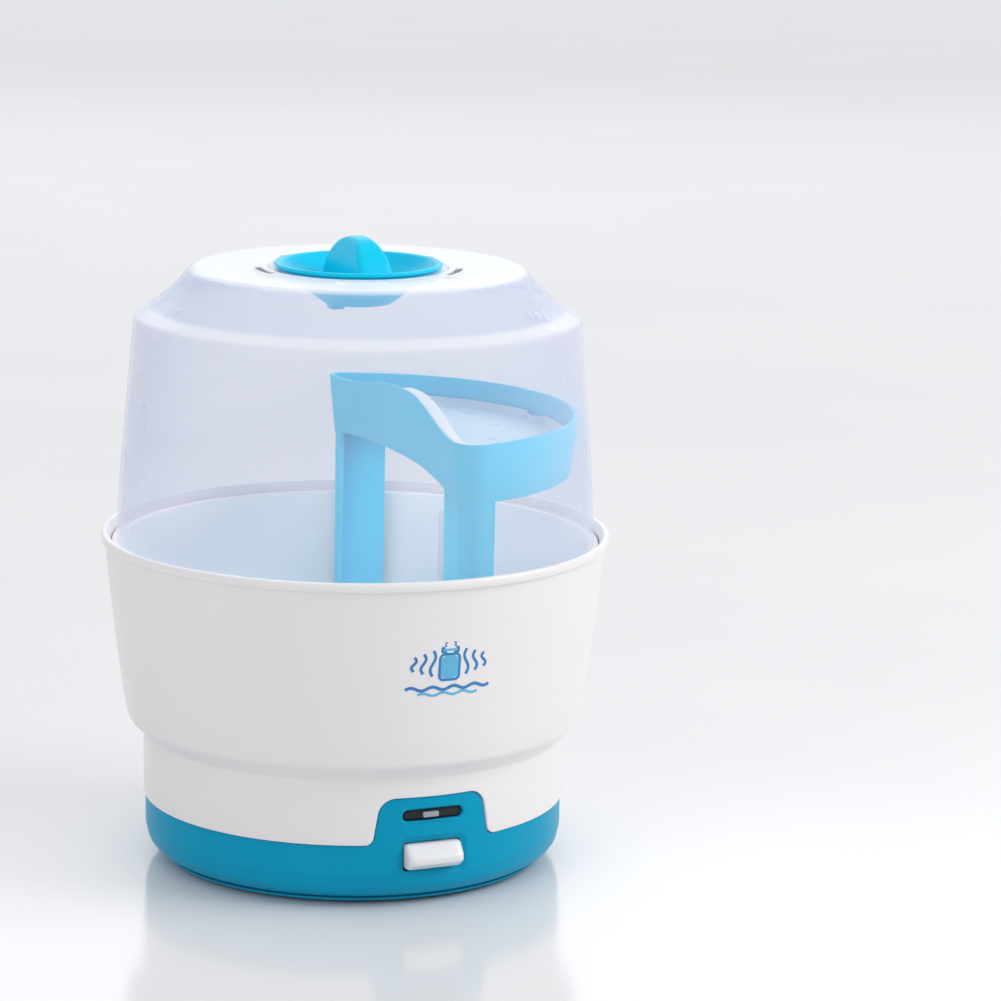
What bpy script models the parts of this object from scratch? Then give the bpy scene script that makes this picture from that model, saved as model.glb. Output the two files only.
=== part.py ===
"""Electric steam bottle sterilizer, modelled as an assembly of separate pieces.

The model stands on z = 0 with its turned axis on the Z axis. The control panel faces -Y.
Sizes are in millimetres and the helper functions turn them into metres.
"""
import math

import bmesh
import bpy
from mathutils import Vector

MM = 0.001
GAP = 0.3                      # clearance kept between touching pieces
WALL = 2.5                     # moulded wall of the casing parts

# Segments around the turned pieces.
SEG_LARGE = 44
SEG_MEDIUM = 32
SEG_SMALL = 20
SEG_CUP = 14
SEG_TINY = 10

# Base, from the floor up.
FOOT_PROUD = 1.5
COVER_Z = (FOOT_PROUD, 4.0)
COVER_LIP = (101.5, 104.2, 3.3)          # bottom radius, top radius, top height
TRIM_R = 115.5
TRIM_TOP = 35.5
PANEL_TOP = 61.0
LOWER_R = 116.5
RIM_R = 140.0
RIM_TOP = 183.5
LEDGE_Z = 176.0

# Control panel, in its own X and Z.
PANEL_TOP_HALF = 29.0
PANEL_FOOT_HALF = 33.2
PANEL_CORNER_R = 9.5
PANEL_FILLET_R = 5.0
SLOT_Z = 51.0
SLOT_SIZE = (35.0, 6.2)
WINDOW_Z = (20.2, 36.0)
WINDOW_HALF = 16.9
WINDOW_CORNER_R = 2.5

CORD_Z = 27.2                  # cord entry at the back

# Press-down lever and its pivot.
PIVOT_Y = -107.0
PIVOT_Z = 32.5
PADDLE_HALF = 15.9
PADDLE_TIP_Y = -121.8
PADDLE_BACK_Y = -111.5
PADDLE_Z = (21.8, 35.4)
NECK_HALF = 11.0
NECK_BACK_Y = -103.5
SWITCH_Y = (-95.0, -77.0)
CHEEK_X = 16.5
CHEEK_T = 2.0
PIN_R = 1.5
PIN_HALF = CHEEK_X + CHEEK_T

# Water chamber and heater.
TUB_HOLE_R = 54.0
TUB_FLOOR_Z = (74.8, 77.2)
PLATE_R = 60.0
PLATE_TOP = 73.1
PLATE_T = 1.5
CLAMP_SCREW_R = 64.0
HEATER_R = 38.0
HEATER_TUBE_R = 3.5
HEATER_Z = PLATE_TOP - PLATE_T - GAP - HEATER_TUBE_R

# Bottle rack.
RACK_Z = (96.0, 98.5)
RACK_R = 116.4
RACK_RIM = (2.4, 2.5)          # width and depth of the rim under the plate's edge
CUP_ANGLES = (-28.0, 25.0, 97.0, 150.0, 203.0, 256.0)   # clear of the handle frame's legs
CUP_CIRCLE_R = 75.0
CUP_R = (25.0, 27.2)
CUP_HOLE_R = 8.0               # steam hole under each bottle
CUP_TOP = 118.0
RACK_LEG_CIRCLE_R = 93.0
RACK_LEG_FOOT_Z = 80.8

# D-shaped handle frame on the rack.
HOOP_R = 121.0
HOOP_WALL = 2.5
HOOP_Z = (218.0, 250.0)
HOOP_TAPER = 3.0               # how far the band and its legs lean in below the top
CHORD_X = 20.0
CHORD_TURN = math.radians(4.2)
ARCH_TOP = 226.0               # underside of the chord wall at its highest
ARCH_PEAK = 0.66
ARCH_DROP = (22.0, 90.0)        # how fast it falls behind and before the peak
FRONT_FILLET_R = 13.0
BACK_FILLET_R = 5.0
HUMP = 14.0
HUMP_PEAK = 0.64               # place of the grip's highest point along the chord
CAP_T = 2.2                    # white cap on the grip
CAP_INSET = (-0.2, 8.6)        # its edges, measured inwards from the hoop's outline
CAP_PLACES = (0.56, 0.60, 0.64, 0.68, 0.72, 0.77, 0.82, 0.86, 0.90, 0.94)
CAP_SPAN = (CAP_PLACES[0], CAP_PLACES[-1])
STEP = 0.002                   # share of an edge over which the outline jumps
LEG_FOOT_Z = RACK_Z[1] + GAP
BACK_LEG_ON_CHORD = 0.05
FRONT_LEG_ON_CHORD = 0.906
FRONT_LEG_ON_ARC = 0.018
BACK_LEG_ON_ARC = 0.915
TRAY_Z = (233.6, 239.0)
TRAY_FLOOR_T = 1.8
TRAY_WALL = 1.5
TRAY_GAP = 2.5                 # to the hoop's wall at the top
TRAY_CHORD_INSET = CAP_INSET[1] + 0.6    # lets the tray lift past the cap
TRAY_NOTCH_R = 7.0
TRAY_NOTCH_T = 0.56            # place of the notch along the arc
LUG_HALF = 3.0

# Lid.
LID_BOTTOM = 178.8
LID_WALL = 2.2
LID_TOP = 329.3
LID_HOLE_R = 42.6
VENT_R = 55.0
VENT_W = 4.6
VENT_HALF = math.radians(12.0)
VENT_TURN = math.radians(-110.0)
VENT_COUNT = 5
FIN_R = 28.5
FIN_HALF = (11.0, 2.5)         # half its thickness at the bottom and at the top
FIN_Z = (316.0, 346.0)

# Fixings.
SCREW_CIRCLE_R = 86.0
FOOT_CIRCLE_R = 86.0
FOOT_R = 8.0
POST_R = 5.0


def clear_scene():
    for old in list(bpy.data.objects):
        bpy.data.objects.remove(old, do_unlink=True)


def material(name, colour, roughness, metallic=0.0, alpha=1.0):
    made = bpy.data.materials.new(name)
    made.use_nodes = True
    shader = made.node_tree.nodes["Principled BSDF"]
    shader.inputs["Base Color"].default_value = (*colour, 1.0)
    shader.inputs["Roughness"].default_value = roughness
    shader.inputs["Metallic"].default_value = metallic
    shader.inputs["Alpha"].default_value = alpha
    return made


def add_object(name, bm, mat, smooth=35.0):
    """Turn a bmesh in millimetres into a named object in metres."""
    bmesh.ops.scale(bm, vec=(MM, MM, MM), verts=bm.verts)
    bmesh.ops.remove_doubles(bm, verts=bm.verts, dist=1e-7)
    bmesh.ops.recalc_face_normals(bm, faces=bm.faces)
    mesh = bpy.data.meshes.new(name)
    bm.to_mesh(mesh)
    bm.free()
    mesh.shade_smooth()
    mesh.set_sharp_from_angle(angle=math.radians(smooth))
    made = bpy.data.objects.new(name, mesh)
    bpy.context.collection.objects.link(made)
    if mat:
        mesh.materials.append(mat)
    return made


def place(obj, location=(0, 0, 0), rotation=(0, 0, 0)):
    obj.location = Vector(location) * MM
    obj.rotation_euler = rotation
    return obj


def turned(name, profile, mat, segments=SEG_MEDIUM, closed=True):
    """Spin a profile of (radius, height) points about Z. An open one ends on the axis."""
    bm = bmesh.new()
    verts = [bm.verts.new((r, 0, z)) for r, z in profile]
    pairs = list(zip(verts, verts[1:]))
    if closed:
        pairs.append((verts[-1], verts[0]))
    edges = [bm.edges.new(pair) for pair in pairs]
    bmesh.ops.spin(bm, geom=verts + edges, cent=(0, 0, 0), axis=(0, 0, 1), angle=2 * math.pi,
                   steps=segments, use_merge=True)
    return add_object(name, bm, mat)


def disc(name, radius, low, high, mat, segments=SEG_SMALL):
    profile = [(0, low), (radius, low), (radius, high), (0, high)]
    return turned(name, profile, mat, segments, closed=False)


def tube(name, inner, outer, low, high, mat, segments=SEG_MEDIUM):
    profile = [(inner, low), (outer, low), (outer, high), (inner, high)]
    return turned(name, profile, mat, segments)


def box(name, low, high, mat, bevel=0.0):
    bm = bmesh.new()
    bmesh.ops.create_cube(bm, size=1.0)
    size = [b - a for a, b in zip(low, high)]
    middle = [(a + b) / 2 for a, b in zip(low, high)]
    bmesh.ops.scale(bm, vec=size, verts=bm.verts)
    bmesh.ops.translate(bm, vec=middle, verts=bm.verts)
    if bevel:
        bmesh.ops.bevel(bm, geom=bm.edges[:], offset=bevel, segments=2, profile=0.5, affect="EDGES")
    return add_object(name, bm, mat)


def prism(name, outline, low, high, mat, along="Z"):
    """Extrude a flat outline. Its points are (x, y) along Z, (x, z) along Y and (y, z) along X."""
    bm = bmesh.new()
    if along == "Z":
        corners = [bm.verts.new((a, b, low)) for a, b in outline]
        step = (0, 0, high - low)
    elif along == "Y":
        corners = [bm.verts.new((a, low, b)) for a, b in outline]
        step = (0, high - low, 0)
    else:
        corners = [bm.verts.new((low, a, b)) for a, b in outline]
        step = (high - low, 0, 0)
    face = bm.faces.new(corners)
    extruded = bmesh.ops.extrude_face_region(bm, geom=[face])["geom"]
    moved = [item for item in extruded if isinstance(item, bmesh.types.BMVert)]
    bmesh.ops.translate(bm, vec=step, verts=moved)
    return add_object(name, bm, mat)


def arc_points(centre, radius, start, end, steps):
    angles = [start + (end - start) * i / steps for i in range(steps + 1)]
    return [(centre[0] + radius * math.cos(a), centre[1] + radius * math.sin(a)) for a in angles]


def rounded(corners, steps=5):
    """Outline through (a, b, radius) corners, each rounded by its own radius."""
    points = []
    for i, (a, b, radius) in enumerate(corners):
        here = Vector((a, b))
        before = Vector(corners[i - 1][:2])
        after = Vector(corners[(i + 1) % len(corners)][:2])
        to_before = (before - here).normalized()
        to_after = (after - here).normalized()
        half = to_before.angle(to_after) / 2
        if radius == 0:
            points.append((a, b))
            continue
        centre = here + (to_before + to_after).normalized() * (radius / math.sin(half))
        first = here + to_before * (radius / math.tan(half)) - centre
        last = here + to_after * (radius / math.tan(half)) - centre
        sweep = first.angle_signed(last)
        for k in range(steps + 1):
            turn = -sweep * k / steps
            spoke = Vector((first.x * math.cos(turn) - first.y * math.sin(turn),
                            first.x * math.sin(turn) + first.y * math.cos(turn)))
            points.append(tuple(centre + spoke))
    return points


def ring_sector(name, radius, width, half_angle, low, high, turn):
    """Arc-shaped cutter with round ends, centred on the -Y side and turned about Z."""
    middle = -math.pi / 2 + turn
    start = middle - half_angle
    end = middle + half_angle
    cap = width / 2
    outline = arc_points((0, 0), radius + cap, start, end, 6)
    tip = (radius * math.cos(end), radius * math.sin(end))
    outline += arc_points(tip, cap, end, end + math.pi, 4)[1:-1]
    outline += arc_points((0, 0), radius - cap, end, start, 6)
    tip = (radius * math.cos(start), radius * math.sin(start))
    outline += arc_points(tip, cap, start + math.pi, start + 2 * math.pi, 4)[1:-1]
    return prism(name, outline, low, high, None)


def curve_tube(name, points, radius, mat, sides=2):
    """Round rod along a smooth list of points, with filled ends."""
    curve = bpy.data.curves.new(name, "CURVE")
    curve.dimensions = "3D"
    curve.bevel_depth = radius * MM
    curve.bevel_resolution = sides
    curve.use_fill_caps = True
    spline = curve.splines.new("POLY")
    spline.points.add(len(points) - 1)
    for point, place_mm in zip(spline.points, points):
        point.co = (*(c * MM for c in place_mm), 1.0)
    curve.materials.append(mat)
    made = bpy.data.objects.new(name, curve)
    bpy.context.collection.objects.link(made)
    return made


def helper(obj):
    obj.hide_render = True
    obj.display_type = "WIRE"
    return obj


def cut(target, *cutters):
    for cutter in cutters:
        modifier = target.modifiers.new("cut_" + cutter.name, "BOOLEAN")
        modifier.operation = "DIFFERENCE"
        modifier.solver = "EXACT"
        modifier.object = helper(cutter)


def fuse(target, *additions):
    for addition in additions:
        modifier = target.modifiers.new("join_" + addition.name, "BOOLEAN")
        modifier.operation = "UNION"
        modifier.solver = "EXACT"
        modifier.object = helper(addition)


def spread(count, radius, start=0.0):
    """Places equally spaced around the axis, as (x, y, angle)."""
    angles = [start + 2 * math.pi * i / count for i in range(count)]
    return [(radius * math.cos(a), radius * math.sin(a), a) for a in angles]


def polar(radius, degrees):
    angle = math.radians(degrees)
    return radius * math.cos(angle), radius * math.sin(angle)


def panel_outline(grow):
    """Outline of the raised control panel, wider and taller by grow on each side."""
    foot = TRIM_TOP - 0.05 + grow
    side = 46.0
    return rounded([
        (side, 12.0, 0),
        (side, foot, 0),
        (PANEL_FOOT_HALF + grow, foot, PANEL_FILLET_R),
        (PANEL_TOP_HALF + grow, PANEL_TOP + grow, PANEL_CORNER_R + grow),
        (-PANEL_TOP_HALF - grow, PANEL_TOP + grow, PANEL_CORNER_R + grow),
        (-PANEL_FOOT_HALF - grow, foot, PANEL_FILLET_R),
        (-side, foot, 0),
        (-side, 12.0, 0),
    ])


def slot_outline(length, height, z):
    end = height / 2
    half = length / 2
    return rounded([(half, z - end, end * 0.99), (half, z + end, end * 0.99),
                    (-half, z + end, end * 0.99), (-half, z - end, end * 0.99)], steps=4)


def base_housing(mat):
    outer = [
        (LOWER_R, TRIM_TOP + GAP), (LOWER_R, 71.0), (118.6, 74.6), (122.4, 77.6), (125.2, 82.0),
        (127.0, 88.5), (129.6, 106.0), (132.4, 128.0), (135.2, 152.0), (137.2, 172.0), (137.7, 177.6),
        (140.0, 179.4), (RIM_R, 182.4), (138.8, RIM_TOP), (136.8, RIM_TOP - 0.2), (134.6, 180.8),
    ]
    inner = [
        (134.2, LEDGE_Z), (130.6, LEDGE_Z), (130.6, 173.4), (134.6, 171.0), (132.6, 152.0),
        (127.0, 106.0), (124.4, 89.0), (121.6, 82.2), (115.6, 76.8), (LOWER_R - WALL, 72.0),
        (LOWER_R - WALL, TRIM_TOP + GAP),
    ]
    housing = turned("base_housing", outer + inner, mat, SEG_LARGE)
    cut(housing, prism("panel_opening", panel_outline(GAP), -130.0, -98.0, None, along="Y"))
    for i, (x, y, angle) in enumerate(spread(4, SCREW_CIRCLE_R, math.pi / 4)):
        post = disc("post_%d" % i, POST_R, 6.5, 52.0, None, SEG_TINY)
        rib = box("post_rib_%d" % i, (2.0, -1.5, 40.3), (LOWER_R - 1.2 - SCREW_CIRCLE_R, 1.5, 51.2), None)
        place(rib, (x, y, 0), (0, 0, angle))
        place(post, (x, y, 0))
        fuse(housing, post, rib)
        pilot = disc("post_pilot_%d" % i, 1.8, 5.0, 24.0, None, SEG_TINY)
        cut(housing, place(pilot, (x, y, 0)))
    return housing


def trim_ring(mat):
    outer = [(105.8, 4.2), (109.8, 6.8), (112.9, 10.6), (114.8, 15.2), (TRIM_R, 21.0), (TRIM_R, PANEL_TOP)]
    inner = [(TRIM_R - WALL, PANEL_TOP), (TRIM_R - WALL, 21.0), (112.2, 15.8), (110.2, 11.6),
             (107.0, 8.2), (103.6, 6.0), (103.6, 4.2)]
    ring = turned("trim_ring", outer + inner, mat, SEG_LARGE)
    above = tube("above_trim", 98.0, 128.0, TRIM_TOP, PANEL_TOP + 12.0, None, SEG_LARGE)
    cut(above, prism("panel_keep", panel_outline(0.0), -135.0, -90.0, None, along="Y"))
    half = WINDOW_HALF
    window = rounded([(half, WINDOW_Z[0], WINDOW_CORNER_R), (half, WINDOW_Z[1], WINDOW_CORNER_R),
                      (-half, WINDOW_Z[1], WINDOW_CORNER_R), (-half, WINDOW_Z[0], WINDOW_CORNER_R)], steps=3)
    cut(ring, above,
        prism("lamp_slot", slot_outline(*SLOT_SIZE, SLOT_Z), -125.0, -100.0, None, along="Y"),
        prism("lever_window", window, -125.0, -100.0, None, along="Y"),
        place(disc("cord_hole", 5.3, -12.0, 12.0, None, SEG_TINY), (0, 112.0, CORD_Z), (math.pi / 2, 0, 0)))
    return ring


def bottom_cover(mat):
    low, high = COVER_Z
    foot_r, lip_r, lip_z = COVER_LIP
    profile = [(0, low), (foot_r, low), (lip_r, lip_z), (102.6, lip_z), (102.6, 5.6), (100.4, 5.6),
               (100.4, high), (0, high)]
    cover = turned("bottom_cover", profile, mat, SEG_MEDIUM, closed=False)
    for i, (x, y, _) in enumerate(spread(4, SCREW_CIRCLE_R, math.pi / 4)):
        pad = disc("screw_pad_%d" % i, 6.6, high - 0.4, 6.2, None, SEG_TINY)
        fuse(cover, place(pad, (x, y, 0)))
        recess = disc("screw_recess_%d" % i, 4.4, 0.5, 4.1, None, SEG_TINY)
        hole = disc("screw_hole_%d" % i, 1.9, 3.0, 8.0, None, SEG_TINY)
        cut(cover, place(recess, (x, y, 0)), place(hole, (x, y, 0)))
    for i, (x, y, _) in enumerate(spread(4, FOOT_CIRCLE_R, 0.0)):
        recess = disc("foot_recess_%d" % i, FOOT_R + GAP, 0.5, 3.0, None, SEG_TINY)
        cut(cover, place(recess, (x, y, 0)))
    for i in range(5):
        x = (i - 2) * 11.0
        cut(cover, box("vent_%d" % i, (x - 2.2, -24.0, 0.0), (x + 2.2, 24.0, 6.0), None))
    return cover


def feet_and_screws(rubber, steel):
    for i, (x, y, _) in enumerate(spread(4, FOOT_CIRCLE_R, 0.0)):
        side = [(0, 0), (FOOT_R - 1.0, 0), (FOOT_R, 1.0), (FOOT_R, 2.7), (0, 2.7)]
        foot = turned("foot_%d" % (i + 1), side, rubber, SEG_TINY, closed=False)
        place(foot, (x, y, 0))
    for i, (x, y, _) in enumerate(spread(4, SCREW_CIRCLE_R, math.pi / 4)):
        screw = turned("cover_screw_%d" % (i + 1),
                       [(0, 1.9), (3.4, 1.9), (3.8, 2.4), (3.8, 3.8), (PIN_R, 3.8), (PIN_R, 21.0), (0, 22.5)],
                       steel, SEG_TINY, closed=False)
        place(screw, (x, y, 0))


def inner_tub(mat):
    low, high = TUB_FLOOR_Z
    inside = [(133.8, 176.4), (133.8, 178.5), (127.6, 178.5), (126.8, 165.0), (121.6, 110.0),
              (118.6, 93.0), (112.0, 84.6), (98.0, 80.4), (62.0, high), (TUB_HOLE_R, high)]
    outside = [(TUB_HOLE_R, low), (62.0, low), (98.4, 78.0), (113.4, 82.2), (120.8, 91.8), (123.8, 109.6),
               (129.0, 165.0), (129.6, 176.4)]
    tub = turned("inner_tub", inside + outside, mat, SEG_MEDIUM)
    for i, (x, y, _) in enumerate(spread(3, CLAMP_SCREW_R, math.pi / 6)):
        boss = disc("tub_boss_%d" % i, 3.6, 71.6, 76.4, None, SEG_TINY)
        pilot = disc("tub_pilot_%d" % i, 1.5, 70.0, 75.8, None, SEG_TINY)
        fuse(tub, place(boss, (x, y, 0)))
        cut(tub, place(pilot, (x, y, 0)))
    return tub


def heater(steel, silicone, aluminium, brass):
    under = PLATE_TOP - PLATE_T
    turned("heating_plate", [(0, under + 1.0), (48.0, under), (PLATE_R, under), (PLATE_R, PLATE_TOP),
                             (48.0, PLATE_TOP), (0, PLATE_TOP + 1.0)], steel, SEG_MEDIUM, closed=False)
    tube("plate_gasket", TUB_HOLE_R + 0.5, PLATE_R - 0.5, PLATE_TOP + 0.3, TUB_FLOOR_Z[0] - GAP, silicone)
    clamp = tube("plate_clamp", 50.5, 68.0, under - GAP - 1.5, under - GAP, steel, SEG_SMALL)
    for i, (x, y, _) in enumerate(spread(3, CLAMP_SCREW_R, math.pi / 6)):
        hole = disc("clamp_hole_%d" % i, 1.5, 60.0, 80.0, None, SEG_TINY)
        cut(clamp, place(hole, (x, y, 0)))
        screw = turned("clamp_screw_%d" % (i + 1),
                       [(0, 67.4), (2.8, 67.4), (2.8, 69.4), (1.1, 69.4), (1.1, 75.4), (0, 75.4)],
                       steel, SEG_TINY, closed=False)
        place(screw, (x, y, 0))
    reach = math.radians(150)
    arc = arc_points((0, 0), HEATER_R, math.pi / 2 + math.pi - reach, math.pi / 2 + math.pi + reach, 26)
    curve_tube("heater_element", [(x, y, HEATER_Z) for x, y in arc], HEATER_TUBE_R, aluminium)
    for name, side in (("heater_terminal_left", -1), ("heater_terminal_right", 1)):
        end = math.pi / 2 + side * (math.pi - reach)
        x, y = HEATER_R * math.cos(end), HEATER_R * math.sin(end)
        tab = box(name, (-0.6, -3.0, HEATER_Z - 16.0), (0.6, 3.0, HEATER_Z - HEATER_TUBE_R - GAP), brass)
        place(tab, (x, y, 0))


def thermal_controls(ceramic, steel, white):
    under = PLATE_TOP - PLATE_T
    disc("thermostat", 9.0, 63.9, under + 0.3, ceramic, SEG_SMALL)
    strap = box("thermostat_bracket", (-60.0, -5.0, 62.3), (60.0, 5.0, 63.6), steel)
    for name, x in (("strap_leg_left", -60.0), ("strap_leg_right", 58.7)):
        fuse(strap, box(name, (x, -4.9, 62.6), (x + 1.3, 4.9, under - GAP - 1.5 - GAP), None))
    fuse_body = disc("thermal_fuse", 2.2, -7.0, 7.0, white, SEG_TINY)
    place(fuse_body, (0, 22.0, under - 2.2 - GAP), (0, math.pi / 2, 0))


def lever(mat):
    """Wedge-shaped paddle with a neck that turns on the pin, parented to an empty on the pin's axis."""
    low, high = PADDLE_Z
    side = rounded([(PADDLE_BACK_Y, low, 0), (PADDLE_BACK_Y, high, 0), (-115.0, high, 3.0),
                    (PADDLE_TIP_Y, 28.4, 2.0), (PADDLE_TIP_Y + 0.6, 25.6, 2.0), (-116.2, low, 2.5)], steps=3)
    paddle = prism("switch_lever", side, -PADDLE_HALF, PADDLE_HALF, mat, along="X")
    neck = box("lever_neck", (-NECK_HALF, PADDLE_BACK_Y - 1.0, 26.0),
               (NECK_HALF, NECK_BACK_Y, high - 0.4), None)
    finger = box("lever_finger", (-5.0, NECK_BACK_Y - 1.0, 27.0), (5.0, SWITCH_Y[0] - 1.5, 31.0), None)
    bore = disc("lever_bore", PIN_R + 0.2, -20.0, 20.0, None, SEG_TINY)
    fuse(paddle, neck, finger)
    cut(paddle, place(bore, (0, PIVOT_Y, PIVOT_Z), (0, math.pi / 2, 0)))
    axis = bpy.data.objects.new("lever_axis", None)
    bpy.context.collection.objects.link(axis)
    place(axis, (0, PIVOT_Y, PIVOT_Z))
    for part in (paddle, neck, finger, bore):
        part.parent = axis
        part.location = part.location - axis.location
    return paddle


def switch_unit(black, steel, brass):
    front, back = SWITCH_Y
    body = box("switch_body", (-18.5, front, 16.0), (18.5, back, 41.0), black, bevel=1.0)
    bore = disc("cheek_bore", PIN_R + GAP, -25.0, 25.0, None, SEG_TINY)
    for name, x in (("cheek_left", -CHEEK_X - CHEEK_T), ("cheek_right", CHEEK_X)):
        fuse(body, box(name, (x, -110.2, 28.0), (x + CHEEK_T, front + 1.5, 37.0), None))
    across = (0, math.pi / 2, 0)
    cut(body, place(bore, (0, PIVOT_Y, PIVOT_Z), across))
    place(disc("lever_pin", PIN_R, -PIN_HALF, PIN_HALF, steel, SEG_TINY), (0, PIVOT_Y, PIVOT_Z), across)
    turns = 3
    steps = 8
    coil = []
    for i in range(turns * steps + 1):
        angle = 2 * math.pi * i / steps
        x = NECK_HALF + 1.0 + 3.0 * i / (turns * steps)
        coil.append((x, PIVOT_Y + 2.5 * math.cos(angle), PIVOT_Z + 2.5 * math.sin(angle)))
    curve_tube("lever_spring", coil, 0.35, steel, sides=1)
    for name, x in (("switch_tab_left", -6.0), ("switch_tab_right", 6.0)):
        box(name, (x - 2.4, back + GAP, 28.0), (x + 2.4, back + 9.0, 28.8), brass)


def indicator(lens_mat, white, neon):
    lens = prism("indicator_lens", slot_outline(SLOT_SIZE[0] - 0.7, SLOT_SIZE[1] - 0.7, SLOT_Z),
                 -118.0, -110.2, lens_mat, along="Y")
    cut(lens, tube("lens_curve", TRIM_R - 1.0, 130.0, SLOT_Z - 20, SLOT_Z + 20, None, SEG_LARGE))
    low, high = SLOT_Z - 6.0, SLOT_Z + 6.0
    holder = box("lamp_holder", (-20.0, -109.4, low), (20.0, -99.0, high), white)
    cut(holder, box("lamp_cavity", (-17.6, -112.0, low + 1.8), (17.6, -101.0, high - 1.8), None))
    lamp = disc("indicator_lamp", 2.8, -8.0, 8.0, neon, SEG_TINY)
    place(lamp, (-2.0, -105.0, SLOT_Z), (0, math.pi / 2, 0))


def supply(rubber, ceramic, wire_a, wire_b):
    bushing = turned("cord_bushing", [(3.3, 0), (6.3, 0), (6.3, 3.4), (5.0, 3.4), (5.0, 7.2), (7.5, 7.2),
                                      (7.5, 9.5), (6.2, 11.0), (3.3, 11.0)], rubber, SEG_TINY)
    place(bushing, (0, 108.7, CORD_Z), (-math.pi / 2, 0, 0))
    box("terminal_block", (-13.0, 50.0, COVER_Z[1] + GAP), (13.0, 64.0, 17.0), ceramic, bevel=0.8)
    routes = {
        "wire_switch_feed": ((-6, 56, 18.6), (-6, SWITCH_Y[1] + 10.6, 28.4), wire_a, -30, 20),
        "wire_lamp_feed": ((6, 56, 18.6), (6, SWITCH_Y[1] + 10.6, 28.4), wire_b, 32, 18),
        "wire_heater_feed": ((0, 61, 18.6), (19.0, 38.0, 50.2), wire_a, 16, 6),
    }
    for name, (start, end, mat, bow, rise) in routes.items():
        points = []
        for i in range(15):
            t = i / 14
            swell = math.sin(math.pi * t)
            points.append((start[0] + (end[0] - start[0]) * t + bow * swell,
                           start[1] + (end[1] - start[1]) * t,
                           start[2] + (end[2] - start[2]) * t + rise * swell * (1 - t)))
        curve_tube(name, points, 1.1, mat, sides=1)


def bottle_rack(mat):
    """Plate on six short legs, with a steam hole under each bottle cup. The cups are pieces of their own."""
    low, high = RACK_Z
    width, depth = RACK_RIM
    profile = [(14.0, low), (RACK_R - width, low), (RACK_R - width, low - depth), (RACK_R, low - depth),
               (RACK_R, high), (14.0, high)]
    rack = turned("bottle_rack", profile, mat, SEG_LARGE)
    for i, degrees in enumerate(CUP_ANGLES):
        x, y = polar(CUP_CIRCLE_R, degrees)
        hole = disc("cup_hole_%d" % i, CUP_HOLE_R, low - 5, high + 5, None, SEG_TINY)
        cut(rack, place(hole, (x, y, 0)))
        cup = tube("bottle_cup_%d" % (i + 1), *CUP_R, high + GAP, CUP_TOP, mat, SEG_CUP)
        place(cup, (x, y, 0))
    after = CUP_ANGLES[1:] + (CUP_ANGLES[0] + 360.0,)
    for i, pair in enumerate(zip(CUP_ANGLES, after)):
        x, y = polar(RACK_LEG_CIRCLE_R, sum(pair) / 2)
        leg = disc("rack_leg_%d" % i, 3.2, RACK_LEG_FOOT_Z, low + 1.3, None, SEG_TINY)
        fuse(rack, place(leg, (x, y, 0)))
    return rack


def hoop_point(part, t, inset):
    """Point of the D outline. Parts: 0 chord, 1 front fillet, 2 arc, 3 back fillet."""
    along = Vector((math.sin(CHORD_TURN), math.cos(CHORD_TURN)))
    normal = Vector((math.cos(CHORD_TURN), -math.sin(CHORD_TURN)))
    offset = CHORD_X * math.cos(CHORD_TURN) + inset
    radius = HOOP_R - inset
    centres = []
    for side, fillet in ((1, BACK_FILLET_R), (-1, FRONT_FILLET_R)):
        small = max(fillet - inset, 0.6)
        reach = math.sqrt((radius - small) ** 2 - (offset + small) ** 2)
        centres.append((normal * (offset + small) + along * (side * reach), small))
    (back, back_r), (front, front_r) = centres
    if part == 0:
        return (back - normal * back_r).lerp(front - normal * front_r, t)
    if part == 2:
        start = math.atan2(front.y, front.x)
        end = math.atan2(back.y, back.x)
        angle = start + (end - start) * t
        return Vector((radius * math.cos(angle), radius * math.sin(angle)))
    wall_angle = math.atan2(-normal.y, -normal.x)
    if part == 1:
        start, end = wall_angle, math.atan2(front.y, front.x)
        centre, small = front, front_r
    else:
        start, end = math.atan2(back.y, back.x), wall_angle
        centre, small = back, back_r
    if part == 1 and end < start:
        end += 2 * math.pi
    if part == 3 and end < start:
        end += 2 * math.pi
    angle = start + (end - start) * t
    return centre + Vector((math.cos(angle), math.sin(angle))) * small


def hump(t):
    """Rise of the arched grip at the place t along the chord."""
    if t < HUMP_PEAK:
        return HUMP * math.sin(math.pi / 2 * t / HUMP_PEAK) ** 2
    return HUMP * math.cos(math.pi / 2 * (t - HUMP_PEAK) / (1 - HUMP_PEAK)) ** 2


def hoop_lean(z):
    """How far the band stands inside its outline at the height z."""
    share = (HOOP_Z[1] - z) / (HOOP_Z[1] - HOOP_Z[0])
    return HOOP_TAPER * min(max(share, 0.0), 1.0)


def arch(t):
    """Underside of the chord wall at the place t along it."""
    return ARCH_TOP - ARCH_DROP[0 if t < ARCH_PEAK else 1] * (t - ARCH_PEAK) ** 2


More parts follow.
